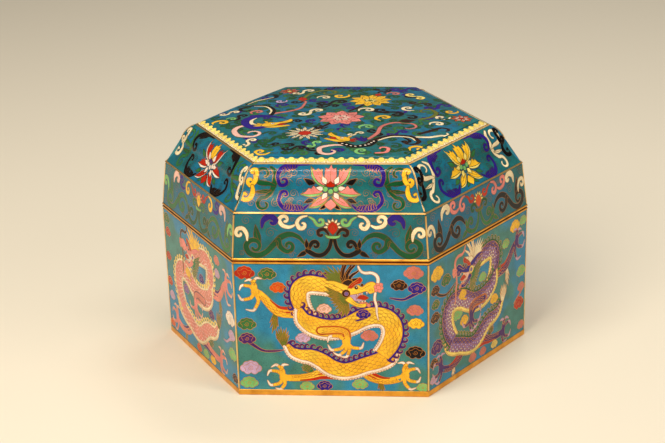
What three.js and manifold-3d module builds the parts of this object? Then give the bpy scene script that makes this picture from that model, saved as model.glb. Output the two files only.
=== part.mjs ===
// A six-sided cloisonne enamel box with a lift-off lid, in millimetres, +Z up.
// The origin is the centre of the underside and one flat side faces -Y.
// Enamelled copper body and lid, each a hollow shell; gilt bronze foot, mouth rims and locating
// collar; a gilt wire in a groove along every outer edge.
import * as THREE from "three";
import { mergeVertices } from "three/addons/utils/BufferGeometryUtils.js";
import Module from "manifold-3d";

// Body
const mouthHalfWidth = 103.9; // axis to the middle of a flat side, at the mouth plane
const mouthHeight = 90; // table to mouth plane
const bodyLean = 1.3; // each side stands out this much further at the mouth than at the table
const bodyWall = 3; // copper and enamel together
const floorThickness = 3;

// Foot, a flat gilt frame that the body stands on
const footHeight = 3.8;
const footWidth = 6; // outside to inside
const footProud = 0.45; // beyond the enamel
const footEdge = 0.4; // chamfer on its outer edges

// Rims and collar
const bodyRimHeight = 1.7;
const lidRimHeight = 1.7;
const rimProud = 0.45; // beyond the enamel
const rimEdge = 0.35; // chamfer on each rim's outer edge at the seam
const collarRise = 7.5; // above the mouth plane
const collarDrop = 5; // below the body rim
const collarThickness = 1.4;
const collarClearance = 0.6; // between the collar and the inside of the lid

// Lid, from the mouth up: a skirt, a hollow and a round sweep, a border and a domed top
const lidWall = 3;
const skirtHeight = 30.5; // mouth plane to shoulder line
const skirtLean = 2.9; // in, from the mouth to the shoulder line
const hollowRise = 14;
const hollowInset = 9.2;
const roundRise = 11.4;
const roundInset = 9.2;
const bandWidth = 5.2; // sloping border round the top, seen from above
const bandRise = 2.7;
const domeRise = 2.8; // of the top, over its border
const domeFullness = 0.3; // lower rises sooner and is flatter in the middle

// Edge wires
const wireWidth = 1; // along the surface, on both sides together
const wireDepth = 0.9; // into the shell
const wireProud = 0.4; // out of the shell
const wireFit = 0.1; // clearance in its groove

const jointGap = 0.3; // between pieces that rest on each other

// Smoothness
const stepsPerSide = 6; // on a side of the lid
const stepsPerSweep = 7; // on each half of the shoulder
const domeRings = 7;

const sides = 6;
const toCorner = 1 / Math.cos(Math.PI / sides); // half width to corner radius

const enamel = { color: 0x2b86a3, roughness: 0.25, metalness: 0 };
const gilt = { color: 0xc98e33, roughness: 0.3, metalness: 1 };

const wasm = await Module();
wasm.setup();

function solidOf(geometry) {
  const bare = geometry.clone();
  bare.deleteAttribute("normal");
  bare.deleteAttribute("uv");
  const merged = mergeVertices(bare, 1e-4);
  return new wasm.Manifold(
    new wasm.Mesh({
      numProp: 3,
      vertProperties: new Float32Array(merged.attributes.position.array),
      triVerts: new Uint32Array(merged.index.array),
    }),
  );
}

function geometryOf(solid) {
  const mesh = solid.getMesh();
  const geometry = new THREE.BufferGeometry();
  geometry.setAttribute("position", new THREE.BufferAttribute(mesh.vertProperties, 3));
  geometry.setIndex(new THREE.BufferAttribute(mesh.triVerts, 1));
  geometry.computeVertexNormals();
  return geometry;
}

// The outside of the body leans out a little from the table to the mouth.
function bodyHalfWidthAt(height) {
  return mouthHalfWidth - bodyLean * (1 - height / mouthHeight);
}

// A closed ring with flat sides, from the outline of its section as [half width, height] points.
function hexBand(section) {
  const outline = section.map(([halfWidth, height]) => new THREE.Vector2(halfWidth * toCorner, height));
  outline.push(outline[0].clone());
  const ring = new THREE.LatheGeometry(outline, sides, Math.PI / 2);
  return ring.rotateX(Math.PI / 2);
}

// A solid with flat sides, from [half width, height] levels, bottom first. A height may be a
// function of x and y. The last level may have no width, and then it is the middle of the top.
function hexStack(levels, steps) {
  const positions = [];
  const triangles = [];
  const around = sides * steps;
  const heightAt = (height, x, y) => (typeof height === "function" ? height(x, y) : height);
  const addPoint = (x, y, height) => positions.push(x, y, heightAt(height, x, y)) / 3 - 1;
  const rings = levels
    .filter(([halfWidth]) => halfWidth > 0)
    .map(([halfWidth, height]) => {
      const ring = [];
      for (let i = 0; i < around; i++) {
        const side = Math.floor(i / steps);
        const along = (i % steps) / steps;
        const [from, to] = [side, side + 1].map((corner) => (corner * 2 * Math.PI) / sides);
        const radius = halfWidth * toCorner;
        const x = radius * THREE.MathUtils.lerp(Math.cos(from), Math.cos(to), along);
        const y = radius * THREE.MathUtils.lerp(Math.sin(from), Math.sin(to), along);
        ring.push(addPoint(x, y, height));
      }
      return ring;
    });
  const underside = addPoint(0, 0, levels[0][1]);
  const top = addPoint(0, 0, levels.at(-1)[1]);
  for (let i = 0; i < around; i++) {
    const next = (i + 1) % around;
    triangles.push(underside, rings[0][next], rings[0][i]);
    triangles.push(top, rings.at(-1)[i], rings.at(-1)[next]);
    for (let level = 0; level + 1 < rings.length; level++) {
      const [low, high] = [rings[level], rings[level + 1]];
      triangles.push(low[i], low[next], high[next]);
      triangles.push(low[i], high[next], high[i]);
    }
  }
  const geometry = new THREE.BufferGeometry();
  geometry.setAttribute("position", new THREE.Float32BufferAttribute(positions, 3));
  geometry.setIndex(triangles);
  return geometry;
}

// Moves a [half width, height] line sideways, out from the axis where the distance is positive.
function offsetLine(line, distance) {
  const normals = line.slice(1).map(([width, height], i) => {
    const run = new THREE.Vector2(width - line[i][0], height - line[i][1]).normalize();
    return new THREE.Vector2(run.y, -run.x);
  });
  return line.map(([width, height], i) => {
    const before = normals[Math.max(i - 1, 0)];
    const after = normals[Math.min(i, normals.length - 1)];
    const mitre = before.clone().add(after).normalize();
    const length = distance / mitre.dot(after);
    return [width + mitre.x * length, height + mitre.y * length];
  });
}

// Shortens a line by a length at each end.
function trimLine(line, atStart, atEnd) {
  const cut = (points, length) => {
    const rest = points.map((point) => new THREE.Vector2(...point));
    let left = length;
    while (rest.length > 2 && rest[0].distanceTo(rest[1]) <= left) {
      left -= rest[0].distanceTo(rest[1]);
      rest.shift();
    }
    rest[0].lerp(rest[1], left / rest[0].distanceTo(rest[1]));
    return rest.map((point) => [point.x, point.y]);
  };
  return cut(cut(line, atStart).reverse(), atEnd).reverse();
}

// A flat strip along one corner. It follows a [half width, height] line up the corner.
function cornerStrip(line, corner, growth, overrun) {
  const onCorner = line.map(([width, height]) => [width * toCorner, height]);
  const path = trimLine(onCorner, -overrun, -overrun);
  const outer = offsetLine(path, wireProud + growth);
  const inner = offsetLine(path, -(wireDepth + growth));
  const outline = [...outer, ...inner.reverse()].map((point) => new THREE.Vector2(...point));
  const width = wireWidth + 2 * growth;
  const strip = new THREE.ExtrudeGeometry(new THREE.Shape(outline), {
    depth: width,
    bevelEnabled: false,
  });
  strip.translate(0, 0, -width / 2).rotateX(Math.PI / 2);
  return strip.rotateZ((corner * 2 * Math.PI) / sides);
}

// A flat wire round the box. It sits on the edge between two faces, each given by a point on it.
function edgeRing([below, edge, above], growth) {
  const middle = new THREE.Vector2(...edge);
  const moved = new THREE.Vector2(...offsetLine([below, edge, above], 1)[1]);
  const outwards = moved.sub(middle).normalize();
  const along = new THREE.Vector2(-outwards.y, outwards.x);
  const half = wireWidth / 2 + growth;
  const place = (out, side) => {
    const point = middle.clone().addScaledVector(outwards, out).addScaledVector(along, side);
    return [point.x, point.y];
  };
  const out = wireProud + growth;
  const into = -(wireDepth + growth);
  return hexBand([place(into, -half), place(out, -half), place(out, half), place(into, half)]);
}

// Levels that the pieces share
const bodyWallTop = mouthHeight - bodyRimHeight - jointGap;
const bodyUnderside = footHeight + jointGap;
const lidRimBottom = mouthHeight + jointGap;
const lidRimTop = lidRimBottom + lidRimHeight;
const lidWallBottom = lidRimTop + jointGap;

// Outside of the lid
const inAndUp = ([halfWidth, height], inset, rise) => [halfWidth - inset, height + rise];
const shoulderLine = inAndUp([mouthHalfWidth, mouthHeight], skirtLean, skirtHeight);
const waist = inAndUp(shoulderLine, hollowInset, hollowRise);
const crownEdge = inAndUp(waist, roundInset, roundRise);
const fieldEdge = inAndUp(crownEdge, bandWidth, bandRise);
function skirtHalfWidthAt(height) {
  return mouthHalfWidth - (skirtLean * (height - mouthHeight)) / skirtHeight;
}
const skirt = [[skirtHalfWidthAt(lidWallBottom), lidWallBottom], shoulderLine];

// The shoulder sweeps in hollow from the shoulder line to the waist, and round from there to the
// crown. The shares set how far each end of a sweep keeps its direction.
const hollowFoot = [0.55, 0.36];
const hollowTop = [0.13, 0.36];
const roundFoot = [0.11, 0.53];
const roundTop = [0.43, 0.11];
function sweep(from, to, start, end) {
  const [fromPoint, toPoint] = [from, to].map((point) => new THREE.Vector2(...point));
  const span = toPoint.clone().sub(fromPoint);
  const curve = new THREE.CubicBezierCurve(
    fromPoint,
    fromPoint.clone().add(span.clone().multiply(new THREE.Vector2(...start))),
    toPoint.clone().sub(span.clone().multiply(new THREE.Vector2(...end))),
    toPoint,
  );
  return curve.getPoints(stepsPerSweep).map((point) => [point.x, point.y]);
}
const shoulder = [
  ...sweep(shoulderLine, waist, hollowFoot, hollowTop),
  ...sweep(waist, crownEdge, roundFoot, roundTop).slice(1),
];

// The two edges that a wire runs along all the way round, with a point on each face beside them
const shoulderEdge = [skirt[0], shoulderLine, shoulder[1]];
const crownRound = [shoulder.at(-2), crownEdge, fieldEdge];

// The top is a shallow dome that meets its border on all six sides.
function domeLevels(halfWidth, height) {
  const share = (x, y) => {
    let product = 1;
    for (let axis = 0; axis < sides / 2; axis++) {
      const angle = ((axis + 0.5) * 2 * Math.PI) / sides;
      const across = (x * Math.cos(angle) + y * Math.sin(angle)) / halfWidth;
      product *= Math.max(0, 1 - across * across);
    }
    return product ** domeFullness;
  };
  const surface = (x, y) => height + domeRise * share(x, y);
  const rings = [];
  for (let ring = 1; ring < domeRings; ring++) {
    rings.push([halfWidth * (1 - (ring / domeRings) ** 1.5), surface]);
  }
  return [[halfWidth, height], ...rings, [0, surface]];
}

// Grooves for the wires, cut from a shell
function cutGrooves(shell, lines, rings) {
  let cut = shell;
  for (const line of lines) {
    for (let corner = 0; corner < sides; corner++) {
      cut = cut.subtract(solidOf(cornerStrip(line, corner, wireFit, wireFit)));
    }
  }
  for (const edge of rings) {
    cut = cut.subtract(solidOf(edgeRing(edge, wireFit)));
  }
  return cut;
}

function footFrame() {
  const outside = bodyHalfWidthAt(0) + footProud;
  const inside = outside - footWidth;
  return hexBand([
    [inside, 0],
    [outside - footEdge, 0],
    [outside, footEdge],
    [outside, footHeight - footEdge / 2],
    [outside - footEdge / 2, footHeight],
    [inside, footHeight],
  ]);
}

const bodyCorner = [
  [bodyHalfWidthAt(bodyUnderside), bodyUnderside],
  [bodyHalfWidthAt(bodyWallTop), bodyWallTop],
];
function boxBody() {
  const outside = solidOf(hexStack(bodyCorner, 1));
  const insideFloor = bodyUnderside + floorThickness;
  const inside = solidOf(
    hexStack(
      [
        [bodyHalfWidthAt(insideFloor) - bodyWall, insideFloor],
        [bodyHalfWidthAt(mouthHeight) - bodyWall, mouthHeight],
      ],
      1,
    ),
  );
  return geometryOf(cutGrooves(outside.subtract(inside), [bodyCorner], []));
}

// The body's mouth rim and the collar that the lid drops over are one formed piece.
function mouthCollar() {
  const outside = mouthHalfWidth + rimProud;
  const rimBottom = mouthHeight - bodyRimHeight;
  const wallInside = bodyHalfWidthAt(rimBottom) - bodyWall - jointGap;
  const collarTop = mouthHeight + collarRise;
  const collarOutside = Math.min(skirtHalfWidthAt(collarTop) - lidWall - collarClearance, wallInside);
  const collarInside = collarOutside - collarThickness;
  const collarBottom = rimBottom - collarDrop;
  return hexBand([
    [collarInside, collarBottom],
    [wallInside, collarBottom],
    [wallInside, rimBottom],
    [outside - rimEdge, rimBottom],
    [outside, rimBottom + rimEdge],
    [outside, mouthHeight - rimEdge],
    [outside - rimEdge, mouthHeight],
    [collarOutside, mouthHeight],
    [collarOutside, collarTop - rimEdge],
    [collarOutside - rimEdge, collarTop],
    [collarInside, collarTop],
  ]);
}

function lidRim() {
  const outside = mouthHalfWidth + rimProud;
  const inside = skirtHalfWidthAt(lidRimTop) - lidWall;
  return hexBand([
    [inside, lidRimBottom],
    [outside - rimEdge, lidRimBottom],
    [outside, lidRimBottom + rimEdge],
    [outside, lidRimTop - rimEdge],
    [outside - rimEdge, lidRimTop],
    [inside, lidRimTop],
  ]);
}

function lidShell() {
  const line = [skirt[0], ...shoulder, fieldEdge];
  const outside = solidOf(
    hexStack([...line.slice(0, -1), ...domeLevels(...fieldEdge)], stepsPerSide),
  );
  const innerLine = offsetLine(line, -lidWall);
  const insideFoot = [skirt[0][0] - lidWall, lidRimBottom];
  const inside = solidOf(
    hexStack(
      [insideFoot, ...innerLine.slice(1, -1), ...domeLevels(...innerLine.at(-1))],
      stepsPerSide,
    ),
  );
  const shell = outside.subtract(inside);
  return geometryOf(cutGrooves(shell, [skirt, shoulder], [shoulderEdge, crownRound]));
}

const box = new THREE.Group();

function add(name, geometry, finish) {
  const mesh = new THREE.Mesh(geometry, new THREE.MeshStandardMaterial(finish));
  mesh.name = name;
  box.add(mesh);
}

// One wire for each corner. It stops short of the rings or rims that it runs between.
function addCornerWires(name, line, atFoot, atTop) {
  const path = trimLine(line, atFoot, atTop);
  for (let corner = 0; corner < sides; corner++) {
    add(`${name}_${corner + 1}`, cornerStrip(path, corner, 0, 0), gilt);
  }
}

const toRing = wireWidth / 2 + wireDepth; // clear of a ring wire

add("foot_frame", footFrame(), gilt);
add("box_body", boxBody(), enamel);
add("mouth_rim_and_collar", mouthCollar(), gilt);
add("lid_rim", lidRim(), gilt);
add("lid_shell", lidShell(), enamel);
addCornerWires("body_corner_wire", bodyCorner, 0, 0);
addCornerWires("skirt_corner_wire", skirt, 0, toRing);
addCornerWires("shoulder_corner_wire", shoulder, toRing, toRing);
add("shoulder_edge_wire", edgeRing(shoulderEdge, 0), gilt);
add("crown_edge_wire", edgeRing(crownRound, 0), gilt);

export default box;
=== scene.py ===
import bisect, cmath, contextlib, math
import bpy
from mathutils import Matrix, Vector
from mathutils.geometry import delaunay_2d_cdt


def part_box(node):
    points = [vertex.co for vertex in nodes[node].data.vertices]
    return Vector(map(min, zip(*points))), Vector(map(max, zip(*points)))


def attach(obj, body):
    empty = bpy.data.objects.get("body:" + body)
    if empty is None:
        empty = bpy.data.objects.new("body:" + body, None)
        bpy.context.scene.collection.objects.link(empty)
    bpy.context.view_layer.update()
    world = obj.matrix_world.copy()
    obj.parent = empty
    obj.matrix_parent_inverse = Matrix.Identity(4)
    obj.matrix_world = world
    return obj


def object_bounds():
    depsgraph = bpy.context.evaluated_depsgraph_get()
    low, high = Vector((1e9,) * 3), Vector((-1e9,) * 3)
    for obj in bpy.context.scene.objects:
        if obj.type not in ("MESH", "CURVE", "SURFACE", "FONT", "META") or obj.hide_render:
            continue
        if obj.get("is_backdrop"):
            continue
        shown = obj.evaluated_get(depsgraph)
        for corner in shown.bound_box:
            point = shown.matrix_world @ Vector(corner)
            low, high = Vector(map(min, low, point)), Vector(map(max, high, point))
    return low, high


# A six-sided cloisonne enamel box with its lid on. The metal comes from the frame; the enamel
# pictures are laid on it here, cell by cell, as flat glass between bent wires.
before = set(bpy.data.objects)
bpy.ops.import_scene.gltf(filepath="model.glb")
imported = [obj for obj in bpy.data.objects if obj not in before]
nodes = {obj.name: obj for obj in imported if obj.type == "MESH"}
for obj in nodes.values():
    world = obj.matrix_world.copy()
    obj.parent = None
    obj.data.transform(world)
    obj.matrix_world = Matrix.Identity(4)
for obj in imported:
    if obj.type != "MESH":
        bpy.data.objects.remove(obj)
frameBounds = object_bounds()
mm = 0.001


# Camera: where it stands and how it is turned, found from the box's own edges
cameraView = {
    "azimuth": 5.33,
    "elevation": 19.63,
    "roll": -1.44,
    "distance": 1.3937,
    "across": -0.0094,  # aim, m from the foot's centre
    "upward": 0.0745,
    "lens": 112.2,  # mm on a 36 mm wide frame
}


def addCamera(view):
    azimuth, elevation, roll = (math.radians(view[k]) for k in ("azimuth", "elevation", "roll"))
    back = Vector((
        math.sin(azimuth) * math.cos(elevation),
        -math.cos(azimuth) * math.cos(elevation),
        math.sin(elevation),
    ))
    level = Vector((math.cos(azimuth), math.sin(azimuth), 0))
    upright = back.cross(level)
    side = level * math.cos(roll) + upright * math.sin(roll)
    top = upright * math.cos(roll) - level * math.sin(roll)
    data = bpy.data.cameras.new("camera")
    data.lens = view["lens"]
    data.sensor_width = 36
    data.clip_start = 0.05
    camera = bpy.data.objects.new("camera", data)
    bpy.context.scene.collection.objects.link(camera)
    place = side * view["across"] + top * view["upward"] + back * view["distance"]
    camera.matrix_world = Matrix.Translation(place) @ Matrix((side, top, back)).transposed().to_4x4()
    bpy.context.scene.camera = camera


addCamera(cameraView)


# Studio: softboxes by place and size in metres, power in watts, all aimed at the box
studio = {
    "floor": "#EFE3CA",
    "air": "#F4F1EC",
    "airStrength": 0.13,
    "aim": 0.08,  # m above the floor
    "softboxes": {
        "key": {"at": (-0.65, -1.2, 1.2), "size": (0.9, 0.9), "power": 20.5, "colour": "#FFF4E6"},
        "fill": {"at": (1.35, -0.8, 0.75), "size": (0.7, 0.9), "power": 5.0, "colour": "#FFF8F0"},
        "strip": {"at": (0.0, -0.42, 1.45), "size": (1.8, 0.1), "power": 11, "colour": "#FFFFFF"},
        "back": {"at": (0.35, 0.75, 1.5), "size": (0.7, 0.4), "power": 6, "colour": "#FFFFFF"},
    },
}


def linear(hexColour):
    parts = (int(hexColour[i : i + 2], 16) / 255 for i in (1, 3, 5))
    return (*(c / 12.92 if c < 0.04045 else ((c + 0.055) / 1.055) ** 2.4 for c in parts), 1)


def addNode(tree, kind, settings=(), inputs=(), links=()):
    node = tree.nodes.new(kind)
    for key, value in dict(settings).items():
        setattr(node, key, value)
    for key, value in dict(inputs).items():
        node.inputs[key].default_value = value
    for key, socket in dict(links).items():
        tree.links.new(socket, node.inputs[key])
    return node


def startMaterial(name, sizes):
    # an empty material, the place on the piece, and one noise for each size in mm
    material = bpy.data.materials.new(name)
    material.use_nodes = True
    tree = material.node_tree
    tree.nodes.clear()
    spot = addNode(tree, "ShaderNodeTexCoord").outputs["Object"]
    noises = [
        addNode(
            tree, "ShaderNodeTexNoise", {"noise_dimensions": "4D"},
            {"Scale": 1000 / size, "Detail": detail, "W": seed}, {"Vector": spot},
        ).outputs["Fac"]
        for size, detail, seed in sizes
    ]
    return material, tree, spot, noises


def finishMaterial(tree, inputs, links):
    shader = addNode(tree, "ShaderNodeBsdfPrincipled", (), inputs, links)
    addNode(tree, "ShaderNodeOutputMaterial", links={"Surface": shader.outputs["BSDF"]})


# Fired glass enamel, ground flat and polished. Glass gives the eye clean reflections over deep
# colour; the grain of the powder shows as cloudiness and specks, and burst bubbles as tiny pits.
enamelFinish = {
    "roughness": 0.16,
    "ior": 1.5,
    "specular": 0.22,  # the rubbed skin of old enamel mirrors less than new glass
    "patchSize": 34.0,  # mm, where one firing's colour runs into the next
    "cloudSize": 7.0,  # mm
    "cloudDepth": 0.2,
    "speckSize": 0.5,  # mm, coarser than the powder so that it shows
    "speckDepth": 0.16,
    "pitSpacing": 2.6,  # mm
    "pitRadius": 0.12,  # share of the spacing
    "waveSize": 11.0,  # mm, unevenness left by hand polishing
    "waveDepth": 0.05,  # mm
}


def enamelMaterial(name, tones, finish=enamelFinish, seed=0.0):
    # tones: the colour, and for a ground a second one that it drifts to in patches
    material, tree, spot, (patch, cloud, speck, wave) = startMaterial(name, (
        (finish["patchSize"], 2.0, seed),
        (finish["cloudSize"], 3.0, seed + 3),
        (finish["speckSize"], 1.0, seed + 5),
        (finish["waveSize"], 1.0, seed + 7),
    ))
    pits = addNode(
        tree, "ShaderNodeTexVoronoi", (), {"Scale": 1000 / finish["pitSpacing"]}, {"Vector": spot},
    )
    pitEdge = finish["pitRadius"]
    shades = [
        addNode(
            tree, "ShaderNodeMapRange", (),
            {"From Min": low, "From Max": high, "To Min": dark, "To Max": light}, {"Value": value},
        ).outputs[0]
        for value, low, high, dark, light in (
            (cloud, 0.3, 0.7, 1 - finish["cloudDepth"], 1 + finish["cloudDepth"]),
            (speck, 0.3, 0.7, 1 - finish["speckDepth"], 1 + finish["speckDepth"]),
            (pits.outputs["Distance"], pitEdge / 2, pitEdge, 0.45, 1.0),
            (cloud, 0.3, 0.7, finish["roughness"] * 0.8, finish["roughness"] * 1.4),
            (patch, 0.47, 0.57, 0.0, 1.0),
        )
    ]
    depth = addNode(tree, "ShaderNodeMath", {"operation": "MULTIPLY"}, (), {0: shades[0], 1: shades[1]})
    depth = addNode(
        tree, "ShaderNodeMath", {"operation": "MULTIPLY"}, (), {0: depth.outputs[0], 1: shades[2]},
    )
    glass = addNode(
        tree, "ShaderNodeMix", {"data_type": "RGBA"},
        {"A": linear(tones[0]), "B": linear(tones[-1])}, {"Factor": shades[4]},
    )
    glass = addNode(
        tree, "ShaderNodeVectorMath", {"operation": "SCALE"}, (),
        {0: glass.outputs["Result"], "Scale": depth.outputs[0]},
    )
    waves = addNode(
        tree, "ShaderNodeBump", (), {"Strength": 0.6, "Distance": finish["waveDepth"] * mm},
        {"Height": wave}
    )
    surface = addNode(
        tree, "ShaderNodeBump", (), {"Strength": 0.7, "Distance": 0.06 * mm},
        {"Height": shades[2], "Normal": waves.outputs[0]},
    )
    finishMaterial(
        tree, {"IOR": finish["ior"], "Specular IOR Level": finish["specular"]},
        {"Base Color": glass.outputs[0], "Roughness": shades[3], "Normal": surface.outputs[0]},
    )
    return material


# Fire-gilt copper alloy. A thin warm gold layer reflects softly; rubbing leaves it browner in
# patches, a dark red-brown band at the seam under the lid is painted shade and painted dark
# reflection, and the filed surface breaks up the highlight.
giltFinish = {
    "bright": "#F6B54A",
    "worn": "#CF8B33",
    # painted shade and dark reflection at the lid seam: its colour, the seam's height, and how far the band
    # reaches
    "seam": "#7A2C10",
    "seamHeight": 90.15,  # mm
    "seamReach": 0.95,  # mm
    "roughness": 0.26,
    "patchSize": 9.0,  # mm
    "grainSize": 0.5,  # mm
}
# The bent wires are redder, unpolished copper gilt, darkened further as a painted dark reflection;
# the lid's wires get a still darker copy, which is painted shade
cloisonGilts = {
    "gilt": dict(giltFinish, bright="#D08A38", worn="#A05826"),
    "paintedShadeGilt": dict(giltFinish, bright="#9C662C", worn="#4E2E16"),
}


def giltMaterial(name, finish):
    material, tree, spot, (patch, grain) = startMaterial(name, (
        (finish["patchSize"], 5.0, 0.0),
        (finish["grainSize"], 2.0, 0.0),
    ))
    height = addNode(tree, "ShaderNodeSeparateXYZ", links={0: spot}).outputs["Z"]
    offset = addNode(
        tree, "ShaderNodeMath", {"operation": "SUBTRACT"}, {1: finish["seamHeight"] * mm}, {0: height},
    )
    away = addNode(tree, "ShaderNodeMath", {"operation": "ABSOLUTE"}, (), {0: offset.outputs[0]}).outputs[0]
    reach = finish["seamReach"] * mm
    # paintedShade is 1 at the lid seam and fades out within the reach: a painted shade band
    wear, paintedShade, polish = (
        addNode(
            tree, "ShaderNodeMapRange", (),
            {"From Min": low, "From Max": high, "To Min": first, "To Max": last}, {"Value": value},
        ).outputs[0]
        for value, low, high, first, last in (
            (patch, 0.4, 0.7, 0.0, 1.0),
            (away, reach * 0.35, reach, 1.0, 0.0),
            (patch, 0.0, 1.0, finish["roughness"] * 0.8, finish["roughness"] * 1.6),
        )
    )
    gold = addNode(
        tree, "ShaderNodeMix", {"data_type": "RGBA"},
        {"A": linear(finish["bright"]), "B": linear(finish["worn"])}, {"Factor": wear},
    )
    # painted shade: the gold turns dark red-brown near the lid seam
    gold = addNode(
        tree, "ShaderNodeMix", {"data_type": "RGBA"}, {"B": linear(finish["seam"])},
        {"A": gold.outputs["Result"], "Factor": paintedShade},
    )
    bump = addNode(tree, "ShaderNodeBump", (), {"Strength": 0.35, "Distance": 0.03 * mm}, {"Height": grain})
    finishMaterial(
        tree, {"Metallic": 1.0},
        {"Base Color": gold.outputs["Result"], "Roughness": polish, "Normal": bump.outputs[0]},
    )
    return material


def addStudio(plan):
    # matt studio paper on the floor: soft and even
    paper, tree, _, (grain,) = startMaterial("studioPaper", ((2.5, 3.0, 0.0),))
    bump = addNode(tree, "ShaderNodeBump", (), {"Strength": 0.05, "Distance": 0.2 * mm}, {"Height": grain})
    finishMaterial(
        tree, {"Base Color": linear(plan["floor"]), "Roughness": 0.85}, {"Normal": bump.outputs[0]},
    )
    data = bpy.data.meshes.new("floor")
    half = 6.0
    data.from_pydata(
        [(-half, -half, 0), (half, -half, 0), (half, half, 0), (-half, half, 0)], [], [(0, 1, 2, 3)],
    )
    data.materials.append(paper)
    floor = bpy.data.objects.new("floor", data)
    bpy.context.scene.collection.objects.link(floor)
    floor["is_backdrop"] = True
    for name, box in plan["softboxes"].items():
        light = bpy.data.lights.new(name, "AREA")
        light.shape = "RECTANGLE"
        light.size, light.size_y = box["size"]
        light.energy = box["power"]
        light.color = linear(box["colour"])[:3]
        lamp = bpy.data.objects.new(name, light)
        bpy.context.scene.collection.objects.link(lamp)
        lamp.location = box["at"]
        aim = Vector((0, 0, plan["aim"])) - lamp.location
        lamp.rotation_euler = aim.to_track_quat("-Z", "Y").to_euler()
    world = bpy.data.worlds.new("air")
    world.use_nodes = True
    air = world.node_tree.nodes["Background"].inputs
    air["Color"].default_value = linear(plan["air"])
    air["Strength"].default_value = plan["airStrength"]
    bpy.context.scene.world = world
    bpy.context.scene.view_settings.view_transform = "Standard"
    print("studio: floor, softboxes and air")


addStudio(studio)


# Drawing tools. A drawing is in millimetres on the complex plane: x along the side, y up it.
cloison = {"width": 0.38, "fine": 0.27, "step": 0.85}  # partition wire, mm, and the length of a segment


def polar(radius, degrees):
    return cmath.rect(radius, math.radians(degrees))


def between(stops, share):
    place = min(max(share, 0), 1) * (len(stops) - 1)
    low = min(int(place), len(stops) - 2)
    return stops[low] + (stops[low + 1] - stops[low]) * (place - low)


def spline(points, closed=False, step=None):
    # a smooth line through the points
    step = step or cloison["step"]
    count = len(points)
    line = []
    for i in range(count if closed else count - 1):
        a, b = points[i], points[(i + 1) % count]
        before = points[i - 1] if closed or i else a
        after = points[(i + 2) % count] if closed or i + 2 < count else b
        pieces = max(1, round(abs(b - a) / step))
        for k in range(pieces):
            t = k / pieces
            line.append(
                a
                + (b - before) * t / 2
                + (2 * before - 5 * a + 4 * b - after) * t * t / 2
                + (3 * a - before - 3 * b + after) * t**3 / 2
            )
    return line if closed else line + [points[-1]]


def curl(start, heading, length, bends, parts=None):
    # a line whose bend, in degrees a millimetre, runs through the values in bends
    parts = parts or max(6, round(length / 0.9))
    line = [start]
    for k in range(parts):
        heading += between(bends, (k + 0.5) / parts) * length / parts
        line.append(line[-1] + polar(length / parts, heading))
    return line


def directions(line):
    ends = [line[max(i - 1, 0)] for i in range(len(line))], line[1:] + line[-1:]
    return [(b - a) / (abs(b - a) or 1) for a, b in zip(*ends)]


def lengthened(line, extra):
    heads = directions(line)
    return [line[0] - heads[0] * extra, *line[1:-1], line[-1] + heads[-1] * extra]


def besideLine(line, widths, side, inset=0.0):
    # the edge of a strip along the line, on its left for side 1, moved in by inset
    last = len(line) - 1
    return [
        p + h * 1j * side * (between(widths, i / last) / 2 - inset)
        for i, (p, h) in enumerate(zip(line, directions(line)))
    ]


def along(line, pitch):
    # evenly spaced spots on a line, with the line's direction at each
    heads = directions(line)
    lengths = [0.0]
    for a, b in zip(line, line[1:]):
        lengths.append(lengths[-1] + abs(b - a))
    count = max(2, round(lengths[-1] / pitch))
    for k in range(count + 1):
        far = lengths[-1] * k / count
        i = min(bisect.bisect_right(lengths, far), len(line) - 1) - 1
        share = (far - lengths[i]) / (lengths[i + 1] - lengths[i] or 1)
        yield line[i] + (line[i + 1] - line[i]) * share, heads[i]


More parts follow.
